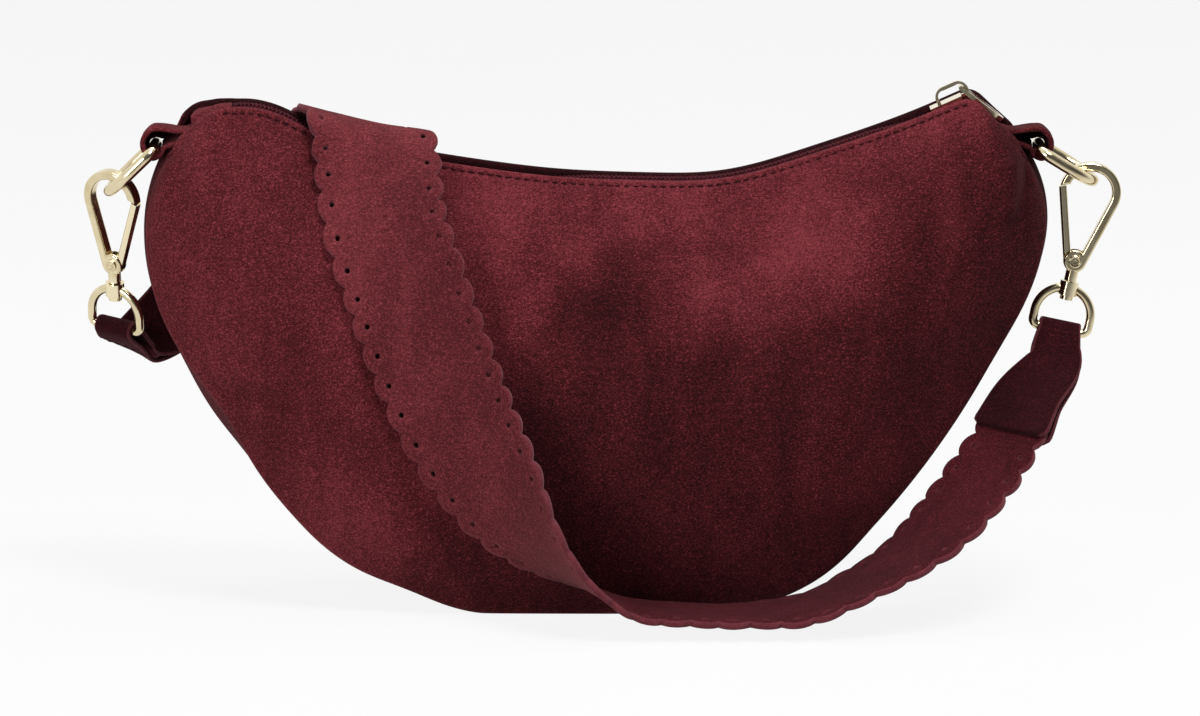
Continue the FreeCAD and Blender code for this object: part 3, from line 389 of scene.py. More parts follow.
class Tree:
    """A node tree under construction."""

    def __init__(self, tree, kind):
        self.tree = tree
        self.place = self.add("ShaderNodeTexCoord").outputs[kind]

    def put(self, socket, value):
        """Links a socket, or sets it to a number or a triple, to which a colour's alpha is added."""
        if isinstance(value, (int, float)):
            socket.default_value = value
        elif isinstance(value, tuple):
            socket.default_value = (*value, 1)[:len(socket.default_value)]
        else:
            self.tree.links.new(value, socket)

    def fill(self, node, **inputs):
        for key, value in inputs.items():
            self.put(node.inputs[key.replace("_", " ")], value)

    def add(self, kind, **inputs):
        node = self.tree.nodes.new(kind)
        self.fill(node, **inputs)
        return node

    def parts(self):
        return self.add("ShaderNodeSeparateXYZ", Vector=self.place).outputs

    def math(self, operation, first, second):
        node = self.add("ShaderNodeMath")
        node.operation = operation
        self.put(node.inputs[0], first)
        self.put(node.inputs[1], second)
        return node.outputs["Value"]

    def spread(self, value, low, high, first, last):
        limits = {"From_Min": low, "From_Max": high, "To_Min": first, "To_Max": last}
        return self.add("ShaderNodeMapRange", Value=value, **limits).outputs["Result"]

    def mix(self, share, first, second, end):
        """Ends the tree with a mix of two shaders."""
        node = self.add("ShaderNodeMixShader")
        for socket, source in zip(node.inputs, (share, first, second)):
            self.put(socket, source)
        self.fill(self.tree.nodes[end], Surface=node.outputs["Shader"])


class Nodes(Tree):
    """A node material under construction."""

    def __init__(self, name):
        self.material = bpy.data.materials.new(name)
        self.material.use_nodes = True
        super().__init__(self.material.node_tree, "Object")
        self.shader = self.tree.nodes["Principled BSDF"]

    def set(self, **values):
        self.fill(self.shader, **values)
        return self.material

    def stretched(self, x, y, z):
        return self.add("ShaderNodeMapping", Scale=(x, y, z), Vector=self.place).outputs["Vector"]

    def noise(self, scale, detail, roughness, place=None, warp=0.0):
        node = self.add("ShaderNodeTexNoise", Vector=place or self.place, Scale=scale, Detail=detail,
                        Roughness=roughness, Distortion=warp)
        return node.outputs["Fac"]

    def blend(self, *layers):
        """The weighted sum of (value, weight) pairs."""
        first, *others = [self.math("MULTIPLY", value, weight) for value, weight in layers]
        for other in others:
            first = self.math("ADD", first, other)
        return first

    def ramp(self, value, *stops):
        node = self.add("ShaderNodeValToRGB", Fac=value)
        band = node.color_ramp.elements
        while len(band) < len(stops):
            band.new(0.5)
        for element, (place, colour) in zip(band, stops):
            element.position = place
            element.color = (*colour, 1)
        return node.outputs["Color"]

    def bump(self, height, distance, strength, **before):
        node = self.add("ShaderNodeBump", Height=height, Distance=distance * MM, Strength=strength, **before)
        return node.outputs["Normal"]


def suede(name, dark, middle, light, sheen, tint, rise):
    """Brushed suede with painted light and shade, as far as rise says: lighter above a wavy line that lies
    higher on the right, and on the left lighter low down and darker higher up. Also patches, strokes, mottle
    and fibres.
    """
    n = Nodes(name)
    part = n.parts()
    patches = n.noise(11, 3, 0.5, warp=0.7)
    # Painted light and shade: lighter high up, where light from above falls, and towards the left, up to a
    # wavy line
    level = n.math("SUBTRACT", part["Z"], n.math("MULTIPLY", part["X"], 0.35))
    left = n.spread(part["X"], -0.07, 0.0, 0.07, 0.0)
    level = n.math("ADD", level, left)
    wavy = n.math("ADD", level, n.spread(patches, 0.3, 0.7, -0.03, 0.03))
    turned = n.spread(wavy, 0.08, 0.12, 0.0, 1.0)
    strokes = n.noise(1, 3, 0.6, n.stretched(50, 50, 18), warp=0.5)
    mottle = n.noise(420, 3, 0.6, warp=0.4)
    fibres = n.spread(n.noise(1, 2, 0.7, n.stretched(1300, 1600, 1600), warp=0.5), 0.3, 0.7, 0.0, 1.0)
    fluff = n.spread(n.noise(1, 2, 0.6, n.stretched(1500, 2000, 2000), warp=0.5), 0.48, 0.68, 0.0, 1.0)
    # Painted light low on the left, where the panel faces down into shade, and painted shade on the left
    # above it
    shade = n.math("MULTIPLY", left, n.spread(part["Z"], 0.02, 0.065, -4.0, 4.2))
    painted_light_and_shade = n.math("SUBTRACT", turned, shade)
    value = n.blend((painted_light_and_shade, rise), (patches, 0.45), (strokes, 0.5), (mottle, 0.25), (fibres, 0.38),
                    (fluff, 0.45))
    worn = n.add("ShaderNodeNewGeometry").outputs["Pointiness"]
    value = n.math("ADD", value, n.spread(worn, 0.5, 0.62, 0.0, 0.25))
    colour = n.ramp(n.spread(value, 0.705, 1.56, 0.0, 1.0), (0.0, dark), (0.45, middle), (1.0, light))
    rough = n.spread(fibres, 0.0, 1.0, 0.86, 1.0)
    normal = n.bump(mottle, 0.5, 0.5)
    normal = n.bump(fibres, 0.22, 0.9, Normal=normal)
    n.set(Base_Color=colour, Roughness=rough, Normal=normal, Specular_IOR_Level=0.08)
    return n.set(Sheen_Weight=sheen, Sheen_Roughness=0.5, Sheen_Tint=tint)


def raw_edge(name, dark, light, sheen):
    """Loose fibres: the cut edges of the suede, and the sewing thread."""
    n = Nodes(name)
    fibres = n.noise(1500, 4, 0.75)
    clumps = n.noise(320, 3, 0.6)
    value = n.blend((fibres, 0.6), (clumps, 0.4))
    colour = n.ramp(value, (0.3, dark), (0.7, light))
    normal = n.bump(value, 0.5, 0.9)
    rough = n.spread(fibres, 0.3, 0.7, 0.9, 1.0)
    n.set(Base_Color=colour, Normal=normal, Roughness=rough, Specular_IOR_Level=0.1)
    return n.set(Sheen_Weight=sheen, Sheen_Roughness=0.5, Sheen_Tint=(0.9, 0.45, 0.5))


def woven(name, dark, light, pitch):
    """Plain woven cloth, with threads of a given pitch in millimetres."""
    n = Nodes(name)
    turn = 2 * math.pi / (pitch * MM)
    part = n.parts()
    warp = n.math("SINE", n.math("MULTIPLY", part["X"], turn), 0.0)
    weft = n.math("SINE", n.math("MULTIPLY", part["Y"], turn), 0.0)
    weave = n.spread(n.math("MULTIPLY", warp, weft), -1, 1, 0, 1)
    slubs = n.noise(260, 3, 0.6)
    value = n.blend((weave, 0.55), (slubs, 0.45))
    colour = n.ramp(value, (0.2, dark), (0.8, light))
    rough = n.spread(slubs, 0.3, 0.7, 0.7, 0.92)
    n.set(Base_Color=colour, Roughness=rough, Normal=n.bump(value, 0.15, 0.8))
    return n.set(Specular_IOR_Level=0.05)


def plastic(name, dark, light, roughness):
    """Drawn plastic thread with slight wear."""
    n = Nodes(name)
    wear = n.noise(700, 3, 0.6)
    fine = n.noise(3000, 2, 0.5)
    colour = n.ramp(wear, (0.35, dark), (0.7, light))
    rough = n.spread(wear, 0.3, 0.7, roughness, roughness + 0.2)
    n.set(Base_Color=colour, Roughness=rough, Normal=n.bump(fine, 0.04, 0.6))
    return n.set(Specular_IOR_Level=0.04)


def metal(name, dark, light, roughness):
    """Polished plate: slight clouding, fine polishing marks and rubbed edges."""
    n = Nodes(name)
    cloud = n.noise(150, 3, 0.55)
    marks = n.noise(1, 3, 0.6, n.stretched(900, 900, 200))
    worn = n.add("ShaderNodeNewGeometry").outputs["Pointiness"]
    value = n.math("ADD", n.math("MULTIPLY", cloud, 0.7), n.spread(worn, 0.48, 0.6, 0.0, 0.5))
    colour = n.ramp(value, (0.25, dark), (0.75, light))
    rough = n.spread(n.blend((cloud, 0.6), (marks, 0.4)), 0.3, 0.7, roughness, roughness + 0.12)
    return n.set(Base_Color=colour, Metallic=1.0, Roughness=rough, Normal=n.bump(marks, 0.02, 0.5))


WINE_SHEEN = (0.85, 0.3, 0.34)
TAB_SHEEN = (0.85, 0.3, 0.36)
# rise sets how much painted light and shade each suede gets
bag_suede = suede("Burgundy suede", (0.013, 0.001, 0.0017), (0.06, 0.0068, 0.0092), (0.19, 0.031, 0.04),
                  sheen=0.08, tint=WINE_SHEEN, rise=0.35)
# Painted shade: a darker copy of the suede for the back panel's rolled hem, which lies in the shade
painted_shade_hem_suede = suede("Shaded hem suede", (0.006, 0.0005, 0.0009), (0.02, 0.0022, 0.0032), (0.065, 0.011, 0.014),
                  sheen=0.02, tint=WINE_SHEEN, rise=0.0)
# Painted shade: a darker copy of the suede for the gusset, whose slivers lie in shadow
painted_shade_gusset_suede = suede("Painted shade gusset suede", (0.011, 0.0009, 0.0014), (0.044, 0.005, 0.0067), (0.145, 0.025, 0.032),
                     sheen=0.03, tint=WINE_SHEEN, rise=0.35)
strap_suede = suede("Strap suede", (0.05, 0.0066, 0.009), (0.137, 0.0215, 0.027), (0.255, 0.052, 0.06),
                    sheen=0.12, tint=(0.9, 0.4, 0.42), rise=0.0)
# Painted shade: a darker copy of the strap suede for the strap's other face, which shows low on the right
painted_shade_strap_underside = suede("Strap underside suede with painted shade", (0.017, 0.0015, 0.0025), (0.058, 0.0066, 0.01), (0.14, 0.022, 0.03),
                    sheen=0.06, tint=TAB_SHEEN, rise=0.0)
# Painted shade: a still darker copy for the strap tabs, which lie in shade
painted_shade_tab_suede = suede("Strap tab suede with painted shade", (0.009, 0.0007, 0.0014), (0.029, 0.0031, 0.0051), (0.085, 0.0125, 0.017),
                  sheen=0.06, tint=TAB_SHEEN, rise=0.0)
edge_suede = raw_edge("Cut suede edge", (0.05, 0.007, 0.0105), (0.14, 0.028, 0.037), 0.25)
tab_edge = raw_edge("Cut tab edge", (0.03, 0.0045, 0.0065), (0.1, 0.02, 0.025), 0.2)
lining_cloth = woven("Lining cloth", (0.05, 0.02, 0.025), (0.09, 0.035, 0.045), 0.7)
tape_cloth = woven("Zip tape cloth", (0.02, 0.003, 0.007), (0.06, 0.01, 0.02), 0.6)
coil_plastic = plastic("Coil plastic", (0.03, 0.0045, 0.007), (0.085, 0.014, 0.019), 0.6)
thread = raw_edge("Sewing thread", (0.015, 0.0016, 0.0028), (0.036, 0.0042, 0.007), 0.04)
gold = metal("Pale gold", (0.6, 0.49, 0.29), (0.83, 0.73, 0.5), 0.1)
steel = metal("Spring steel", (0.4, 0.39, 0.38), (0.62, 0.61, 0.6), 0.22)

# Panels: ribs each way, rows in the sewn strip and below it, and the radii of the rolled edges

RIBS = 120
SEWN_ROWS = 9
SEWN_WIDTH = 6.5
FACE_ROWS = 46
HEM_ROLL = 1.0
HEM_TAIL = 4
HEM_TURNS = (180, 140, 90, 45)
SEAM_ROLL = 1.7
SEAM_TURNS = (35, 70, 105, 130)
END_ROLL = 1.2
END_SLOPE = 35


def rolled(point, inward, way, radius, turn):
    """A point of an edge that goes on in a direction while it is rolled inward."""
    return point + inward * radius * (1 - cosine(turn)) + way * radius * sine(turn)


def panel_piece(name, front):
    """A crescent panel: hem rolled in at the zip, face with its dents, edge turned in at the seam."""
    inward = vec(0, 1 if front else -1, 0)
    rows = []
    depths = []
    for u in [k / RIBS for k in range(-RIBS, RIBS + 1)]:
        high, low = rib_ends(u)
        up = (high - low).normalized()
        length = (high - low).length
        first = HEM_ROLL / length
        last = 1 - SEAM_ROLL / length
        near = min(SEWN_WIDTH / length, 0.4)
        stops = [first + (near - first) * k / SEWN_ROWS for k in range(SEWN_ROWS)]
        stops += [near + (last - near) * k / FACE_ROWS for k in range(FACE_ROWS + 1)]
        edge = panel_face(u, first, front)
        line = [edge + inward * 2 * HEM_ROLL - up * HEM_TAIL]
        line += [rolled(edge, inward, up, HEM_ROLL, turn) for turn in HEM_TURNS]
        depth = [0.0] * len(line) + [groove(u, a * length) for a in stops] + [0.0] * len(SEAM_TURNS)
        line += [panel_face(u, a, front) for a in stops]
        foot = line[-1]
        line += [rolled(foot, inward, -up, SEAM_ROLL, turn) for turn in SEAM_TURNS]
        rows.append(line)
        depths.append(depth)
    for sign in (-1, 1):
        end = rows[0 if sign < 0 else -1]
        out = vec(sign * cosine(END_SLOPE), 0, -sine(END_SLOPE))
        for turn in (45, 90, 135):
            rows.insert(0 if sign < 0 else len(rows), [rolled(p, inward, out, END_ROLL, turn) for p in end])
            depths.insert(0 if sign < 0 else len(depths), [0.0] * len(end))
    obj = grid_piece(f"{name}_suede", rows, not front, bag_suede, "suede", name)
    normals = [vertex.normal.copy() for vertex in obj.data.vertices]
    for vertex, normal, depth in zip(obj.data.vertices, normals, [d for line in depths for d in line]):
        vertex.co += normal * (PANEL_THICKNESS - depth) * MM
        vertex.co.z = max(vertex.co.z, FLOOR_GAP * MM)
    obj.data.update()
    # The back panel's rolled hem gets the suede with painted shade
    if not front:
        obj.data.materials.append(painted_shade_hem_suede)
        for polygon in obj.data.polygons:
            column = polygon.index % (len(rows[0]) - 1)
            polygon.material_index = 1 if column < len(HEM_TURNS) else 0
    return soften(thicken(obj, PANEL_THICKNESS))


front_piece = panel_piece("front_panel", True)
back_piece = panel_piece("back_panel", False)


def strip_piece(name, chain, stops, half_width, level, material, slot, swell, thickness, lip, tail=0.0):
    """A sewn strip along a chain, its long edges turned in and its ends drawn out by a tail."""
    rows = []
    for distance in stops:
        point, heading = chain.at(distance)
        out = vec(heading.z, 0, -heading.x) * (-1 if distance < 0 else 1)
        out = out if chain is side else -out
        half = half_width(distance / chain.length)

        def lipped(sign, turn):
            aside = sign * (half - lip + lip * sine(turn))
            return point + out * (level - lip * (1 - cosine(turn))) + vec(0, aside, 0)

        line = [lipped(-1, turn) for turn in (120, 90, 45)]
        for k in range(13):
            b = k / 6 - 1
            belly = swell(point) * (1 - b * b)
            wave = noise.noise(vec(point.x / 30, b * 1.4, point.z / 30)) * 0.5
            wave *= (1 - b * b) * ease(point.z, 4, 30)
            line.append(point + out * (level + belly + wave) + vec(0, b * (half - lip), 0))
        line += [lipped(1, turn) for turn in (45, 90, 120)]
        rows.append(line)
    if tail:
        rows.insert(0, [p + chain.at(stops[0])[1] * tail for p in rows[0]])
        rows.append([p + chain.at(stops[-1])[1] * tail for p in rows[-1]])
    obj = grid_piece(name, rows, chain is top, material, slot, name)
    return thicken(obj, thickness)


def even(first, last, step):
    count = max(2, round(abs(last - first) / step))
    return [first + (last - first) * k / count for k in range(count + 1)]


# The gusset has the suede with painted shade
gusset = soften(strip_piece(
    "bottom_gusset", side, even(2.5 - side.length, side.length - 2.5, 3.5), lambda u: seam_depth(u) - 0.9, 0,
    painted_shade_gusset_suede, "suede", lambda p: 2.0 * ease(p.z, 3, 40), thickness=1.4, lip=1.5, tail=4.5))
for name, sign in SIDES.items():
    stops = even(sign * (zip_length + 0.4), sign * (top.length - 2.5), 1.2)
    if sign < 0:
        stops.reverse()
    soften(strip_piece(
        f"{name}_zip_end_patch", top, stops, lambda u: rim_depth(u) - 2.1, -0.8 if sign < 0 else -2.0,
        bag_suede, "suede", lambda p: 1.4, PANEL_THICKNESS, lip=0.8))

# Linings and the slip pocket, inside the bag


def lining_piece(name, front, inset, low, high, reach):
    """A cloth piece inside a panel, between two heights and out to a share of its width."""
    ribs = 40
    stops = 20
    rows = []
    for u in [k / ribs * reach for k in range(-ribs, ribs + 1)]:
        line = []
        for k in range(stops + 1):
            spot = skin(u, low + (high - low) * k / stops)
            spot.y += inset + CLOTH + noise.noise(spot / 25) * 0.5
            if not front:
                spot.y = -spot.y
            line.append(spot)
        rows.append(line)
    obj = grid_piece(name, rows, front, lining_cloth, "lining", name)
    return thicken(obj, CLOTH)


for name in ("front", "back"):
    lining_piece(f"{name}_lining", name == "front", inset=3.0, low=0.07, high=0.93, reach=0.9)
lining_piece("inner_pocket", False, inset=5.2, low=0.3, high=0.75, reach=S.pocket_reach / top.length)
strip_piece(
    "gusset_lining", side, even(6 - side.length, side.length - 6, 6), lambda u: seam_depth(u) - 3.0, -3.0,
    lining_cloth, "lining", lambda p: 0.0, CLOTH, lip=0.3)

# Zip: woven tapes and coil halves, raised except near the slider's two limits

COIL_RISE = 1.5
COIL_PITCH = 1.55
COIL_WIRE = 0.42


def zip_spot(angle, y, height):
    """A point by the zip: angle along its curve, across it, and height over the middle of the coil."""
    x = S.zip_radius * math.sin(angle)
    raised = (1 - ease(x, 96, 114)) * ease(x, -25, 0) + ease(-x, 70, 90)
    low = LIFT * hump(x, LIFT_X, LIFT_REACH)
    radius = S.zip_radius + S.zip_drop - height - COIL_RISE * raised + low
    return zip_centre + vec(radius * math.sin(angle), y, -radius * math.cos(angle))


def tape_piece(name, sign):
    rows = []
    end = math.radians(zip_half)
    for angle in even(-end, end, 0.006):
        rows.append([zip_spot(angle, sign * y, 0.12 * noise.noise(vec(angle * 60, y, sign)))
                     for y in (1.0, 2.4, 3.6, 4.8, 6.1)])
    return thicken(grid_piece(name, rows, sign > 0, tape_cloth, "zip_tape", name), CLOTH, 0.0)


def coil_piece(name, sign):
    """One half of the coil: a wire wound round the edge of its tape."""
    pitch = COIL_PITCH / (S.zip_radius + S.zip_drop)
    end = math.radians(zip_half) - pitch
    steps = 10
    sides = 5
    path = []
    for k in range(int(2 * end / pitch) * steps + 1):
        phase = 2 * math.pi * k / steps
        angle = -end + pitch * k / steps + (0.5 * pitch if sign > 0 else 0)
        path.append(zip_spot(angle, sign * (1.35 + 1.5 * math.cos(phase)), 0.75 * math.sin(phase)))
    points = []
    for k, spot in enumerate(path):
        along = heading_at(path, k)
        first = along.cross(vec(0.3, 0.2, 0.9)).normalized()
        points += circle(spot, first, along.cross(first), COIL_WIRE, sides)
    faces = tube_faces(len(path), sides)
    return new_object(name, points, faces, coil_plastic, "zip_coil", name, settled=True)


for name, sign in (("front", -1), ("back", 1)):
    tape_piece(f"{name}_zip_tape", sign)
    coil_piece(f"{name}_zip_coil", sign)

# Stitches


def stitch_points(line, gap):
    """Middles, directions and normals of stitches along a line of (point, normal)."""
    spots = [point for point, normal in line]
    lengths = distances_along(spots)
    found = []
    distance = STITCH
    while distance < lengths[-1] - STITCH:
        k = bisect.bisect_left(lengths, distance)
        share = (distance - lengths[k - 1]) / (lengths[k] - lengths[k - 1])
        along = (spots[k] - spots[k - 1]).normalized()
        found.append((spots[k - 1].lerp(spots[k], share), along, line[k][1]))
        distance += STITCH + gap
    return found


def stitch_piece(name, lines, gap, radius, slot, settled):
    """Stitches along lines of (point, normal), each a short tube that dives into the suede at both ends."""
    sides = 6
    profile = ((-1, 0.35), (-0.75, 0.85), (0, 1.0), (0.75, 0.85), (1, 0.35))
    points = []
    faces = []
    for line in lines:
        for middle, along, normal in stitch_points(line, gap):
            across = along.cross(normal).normalized()
            faces += tube_faces(len(profile), sides, len(points))
            for place, size in profile:
                lift = radius * (0.45 - 0.9 * place * place)
                hub = middle + along * (place * STITCH / 2) + normal * lift
                points += circle(hub, across, normal, radius * size, sides)
    return new_object(name, points, faces, thread, slot, settled=settled)


def hem_line(front):
    """The line sewn along a panel, a little below its zip edge."""
    line = []
    for u in [k / 200 for k in range(-178, 179)]:
        high, low = rib_ends(u)
        a = HEM / (high - low).length
        spot = panel_face(u, a, front)
        aside = panel_face(u + 0.004, a, front) - spot
        down = panel_face(u, a + 0.01, front) - spot
        normal = (down.cross(aside) if front else aside.cross(down)).normalized()
        line.append((spot + normal * (PANEL_THICKNESS - groove(u, HEM) + 0.1), normal))
    return line


for name in ("front", "back"):
    lines = [hem_line(name == "front")]
    stitch_piece(f"{name}_hem_stitches", lines, STITCH_PITCH - STITCH, THREAD_RADIUS, "suede", True)

# Bands: folded tabs


def band_mesh(stations, thickness, columns):
    """A closed band with round edges through stations of point, across, normal and width."""
    half = thickness / 2
    points = []
    for point, across, normal, width in stations:
        reach = max(width / 2 - half, 0.2)
        section = [(-reach + 2 * reach * j / columns, half) for j in range(columns + 1)]
        section += [(reach + half * sine(turn), half * cosine(turn)) for turn in (45, 90, 135)]
        section += [(reach - 2 * reach * j / columns, -half) for j in range(columns + 1)]
        section += [(-reach - half * sine(turn), half * cosine(turn)) for turn in (135, 90, 45)]
        points += [point + across * t + normal * n for t, n in section]
    return points, tube_faces(len(stations), len(points) // len(stations))


def rounded(points):
    """A line of points with its corners cut twice, ends kept."""
    for _ in range(2):
        cut = [points[0]]
        for first, second in zip(points, points[1:]):
            cut += [first.lerp(second, 0.25), first.lerp(second, 0.75)]
        points = cut + [points[-1]]
    return points


def ring_tab(name):
    """A tab folded round the side ring's bar. Its front half gapes, its rear half closes behind the bar."""
    sign = SIDES[name]
    wide = S.tab_width
    out = vec(sign * cosine(S.tab_slope), 0, -sine(S.tab_slope))
    rise = out.cross(vec(0, sign, 0))
    bar = vec(sign * open_end.x, 0, open_end.z) + out * S.tab_outside
    loop = S.ring_wire / 2 + S.ring_clear + S.tab_layer / 2
    tail = -S.tab_outside - S.tab_inside
    waist = -S.tab_outside * 0.7
    roots = [(tail, 0.86), (tail * 0.7, 0.86), (waist, 0.86)]
    upper = roots + [(-3.9, 0.86), (-3.05, 1.15), (-2.3, 2.15), (-1.2, 2.95)]
    turn = [(loop * cosine(k * 22.5), loop * sine(k * 22.5)) for k in range(3, -4, -1)]
    gaping = [(tail, 0.95), (tail * 0.7, 2.0), (waist, 5.2)]
    gaping += [(-3.9, 6.5), (-3.05, 6.8), (-2.3, 6.9), (-1.2, 6.7)]
    gaping += [(loop * 1.1 * cosine(k * 22.5), max(loop, 6.0) * sine(k * 22.5)) for k in range(3, 0, -1)]
    gaping += turn[3:] + [(x, -z) for x, z in reversed(upper)]
    closed = roots + [(-3.9, 1.5), (-3.15, 1.4), (-2.3, 2.15), (-1.2, 2.95)] + turn
    closed += [(-1.2, -2.9), (-2.25, -2.1), (-2.85, -1.17), (-3.4, 0.0)]
    closed += [(x, 0.3 - z) for x, z in reversed(roots)]
    closed = [(x, z + 0.7 * ease(-x, 3.4, 5.0) * ease(x, tail, waist)) for x, z in closed]

    def stations(profile):
        line = rounded([bar + out * x + rise * z for x, z in profile])
        across = vec(0, 1, 0)
        found = []
        for k, point in enumerate(line):
            width = wide - 0.6 * math.sin(9 * (k / (len(line) - 1)))
            found.append((point, across, across.cross(heading_at(line, k)).normalized(), width))
        return found

    ahead = band_mesh(stations(gaping), S.tab_layer - 0.05, 8)[0]
    behind, faces = band_mesh(stations(closed), S.tab_layer - 0.05, 8)
    points = [p.lerp(q, ease(p.y, 0.1 * wide, 0.42 * wide)) for p, q in zip(ahead, behind)]
    obj = new_object(f"{name}_ring_tab", points, faces, bag_suede, "suede", f"{name}_ring_tab")
    stations(closed)


for name in SIDES:
    ring_tab(name)

# Strap. The eyes' bars as they lie in the part: middle, direction of the bar and axis of the eye
BARS = {
    "left": (vec(-173.8957, 18.6932, 94.8192), vec(-0.8734, 0.4705, 0.1261), vec(0, -0.2588, 0.9659)),
    "right": (vec(165.8951, 0, 97.335), vec(0.9781, 0, -0.2079), vec(0.2079, 0, 0.9781)),
}
# The strap's distance from the panels, the steps between its stations, and its scallops and holes
STRAP_LIFT = 0.9 + S.strap_thickness / 2
STRAP_STEPS = 8
CREST_STATION = 8
SCALLOP_PITCH = 10.7
SCALLOP_DEPTH = 2.5
HOLE_INSET = 4.9
HOLE_RADIUS = 1.0
BORDER = 9.5
KEPT_EDGE = 10


def strap_route():
    """Stations of the strap's middle line with its direction across, from the left eye to the right."""
    left_bar, left_spine, left_axis = BARS["left"]
    right_bar, right_spine, right_axis = BARS["right"]
    half_bag = S.bag_width / 2
    half_strap = S.strap_width / 2
    crest = top.at(-0.55 * top.length)[0]

    def on_front(x, z, across):
        across = across.normalized()
        depth = 0.0
        for part in (-1, -0.5, 0, 0.5, 1):
            edge = across * part * half_strap
            spot = skin(*share_at(x * half_bag + edge.x, z + edge.z))
            depth = max(depth, -spot.y + edge.y)
        return vec(x * half_bag, -depth - STRAP_LIFT, z), across

    def by_eye(x, y, z, across):
        return right_bar + vec(x, y, z), across

    left_start = left_bar - left_axis * 4.5 - left_axis.cross(left_spine) * 4
    right_start = right_bar - right_axis * 6 - right_axis.cross(right_spine) * 3
    right_next = right_bar - right_axis * 13 - right_axis.cross(right_spine) * 8
    return [
        (left_bar, -left_spine),
        (left_start, -left_spine),
        (left_bar + vec(6, 14, -7.5), vec(0.85, -0.35, -0.4)),
        (left_bar + vec(17, 20, -1), vec(0.72, -0.1, -0.68)),
        (left_bar + vec(35, 20, 15), vec(0.68, 0, -0.74)),
        (left_bar + vec(54, 17, 33), vec(0.7, 0.05, -0.71)),
        (crest + vec(-15, 27, -17), vec(0.8, 0.1, -0.58)),
        (crest + vec(-5, 13, 1), vec(0.92, 0.05, -0.35)),
        (crest + vec(0, 0, 6.5), vec(0.97, 0, -0.23)),
        (crest + vec(5, -13.5, 2), vec(0.97, -0.05, -0.1)),
        on_front(-0.47, 141, vec(0.97, -0.12, 0.2)),
        on_front(-0.42, 118, vec(0.96, -0.12, 0.25)),
        on_front(-0.365, 94, vec(0.95, -0.15, 0.3)),
        on_front(-0.3, 71, vec(0.9, -0.3, 0.36)),
        on_front(-0.22, 50, vec(0.74, -0.55, 0.36)),
        on_front(-0.14, 33, vec(0.5, -0.8, 0.3)),
        on_front(-0.045, 19, vec(0.25, -0.95, 0.15)),
        on_front(0.07, 8.5, vec(0.06, -1, 0.06)),
        (vec(0.2 * half_bag, -60.5, 6.2), vec(0, -1, 0.06)),
        (vec(0.33 * half_bag, -60.5, 5.6), vec(0, -1, 0.04)),
        (vec(0.46 * half_bag, -60, 7.8), vec(0.03, -0.99, -0.01)),
        by_eye(-77, -58.5, -83, vec(0.06, -0.98, -0.05)),
        by_eye(-61.5, -55.5, -75, vec(0.09, -0.975, -0.09)),
        by_eye(-50, -52, -67, vec(0.19, -0.955, -0.18)),
        by_eye(-41, -47.5, -59, vec(0.28, -0.92, -0.27)),
        by_eye(-33.5, -42, -51, vec(0.36, -0.885, -0.3)),
        by_eye(-26.2, -35.5, -42.5, vec(0.52, -0.8, -0.3)),
        by_eye(-18.6, -27.3, -32.6, vec(0.62, -0.72, -0.32)),
        by_eye(-11.9, -17.6, -22.2, vec(0.78, -0.54, -0.33)),
        (right_next, vec(0.92, -0.2, -0.3)),
        (right_start, right_spine),
        (right_bar, right_spine),
    ]


def smooth(route, steps):
    """A Catmull-Rom curve through the stations, with the direction across carried along."""
    stations = []
    count = len(route)
    for k in range(count - 1):
        around = [route[min(max(k + step, 0), count - 1)] for step in (-1, 0, 1, 2)]
        for part in range(steps):
            t = part / steps
            weights = (
                (-t + 2 * t ** 2 - t ** 3) / 2,
                (2 - 5 * t ** 2 + 3 * t ** 3) / 2,
                (t + 4 * t ** 2 - 3 * t ** 3) / 2,
                (-t ** 2 + t ** 3) / 2,
            )
            point = V()
            across = V()
            for (spot, way), weight in zip(around, weights):
                point += spot * weight
                across += way * weight
            stations.append((point, across))
    return stations + [route[-1]]


def ribbon_frames(stations):
    """Point, direction across and normal at each station."""
    points = [point for point, across in stations]
    frames = []
    for k, (point, across) in enumerate(stations):
        along = heading_at(points, k)
        way = (across - along * across.dot(along)).normalized()
        frames.append((point, way, along.cross(way)))
    return frames


strap_frames = ribbon_frames(smooth(strap_route(), STRAP_STEPS))
strap_distances = distances_along([station[0] for station in strap_frames])
strap_total = strap_distances[-1]
crest_distance = strap_distances[CREST_STATION * STRAP_STEPS]


def strap_at(distance):
    """Point, direction across and normal of the strap's middle line."""
    low = min(max(bisect.bisect_right(strap_distances, distance) - 1, 0), len(strap_frames) - 2)
    start, end = strap_distances[low:low + 2]
    share = (distance - start) / (end - start)
    point, across, normal = (a.lerp(b, share) for a, b in zip(*strap_frames[low:low + 2]))
    return point, across.normalized(), normal.normalized()


def strap_width(distance):
    from_end = min(distance, strap_total - distance)
    if from_end < S.strap_tab_length:
        return between(from_end, 0, S.strap_tab_length, S.strap_tab_narrow - 1.6, S.strap_end_width)
    return between(from_end, S.strap_tab_length, S.strap_tab_length + S.strap_taper,
                   S.strap_end_width, S.strap_width)


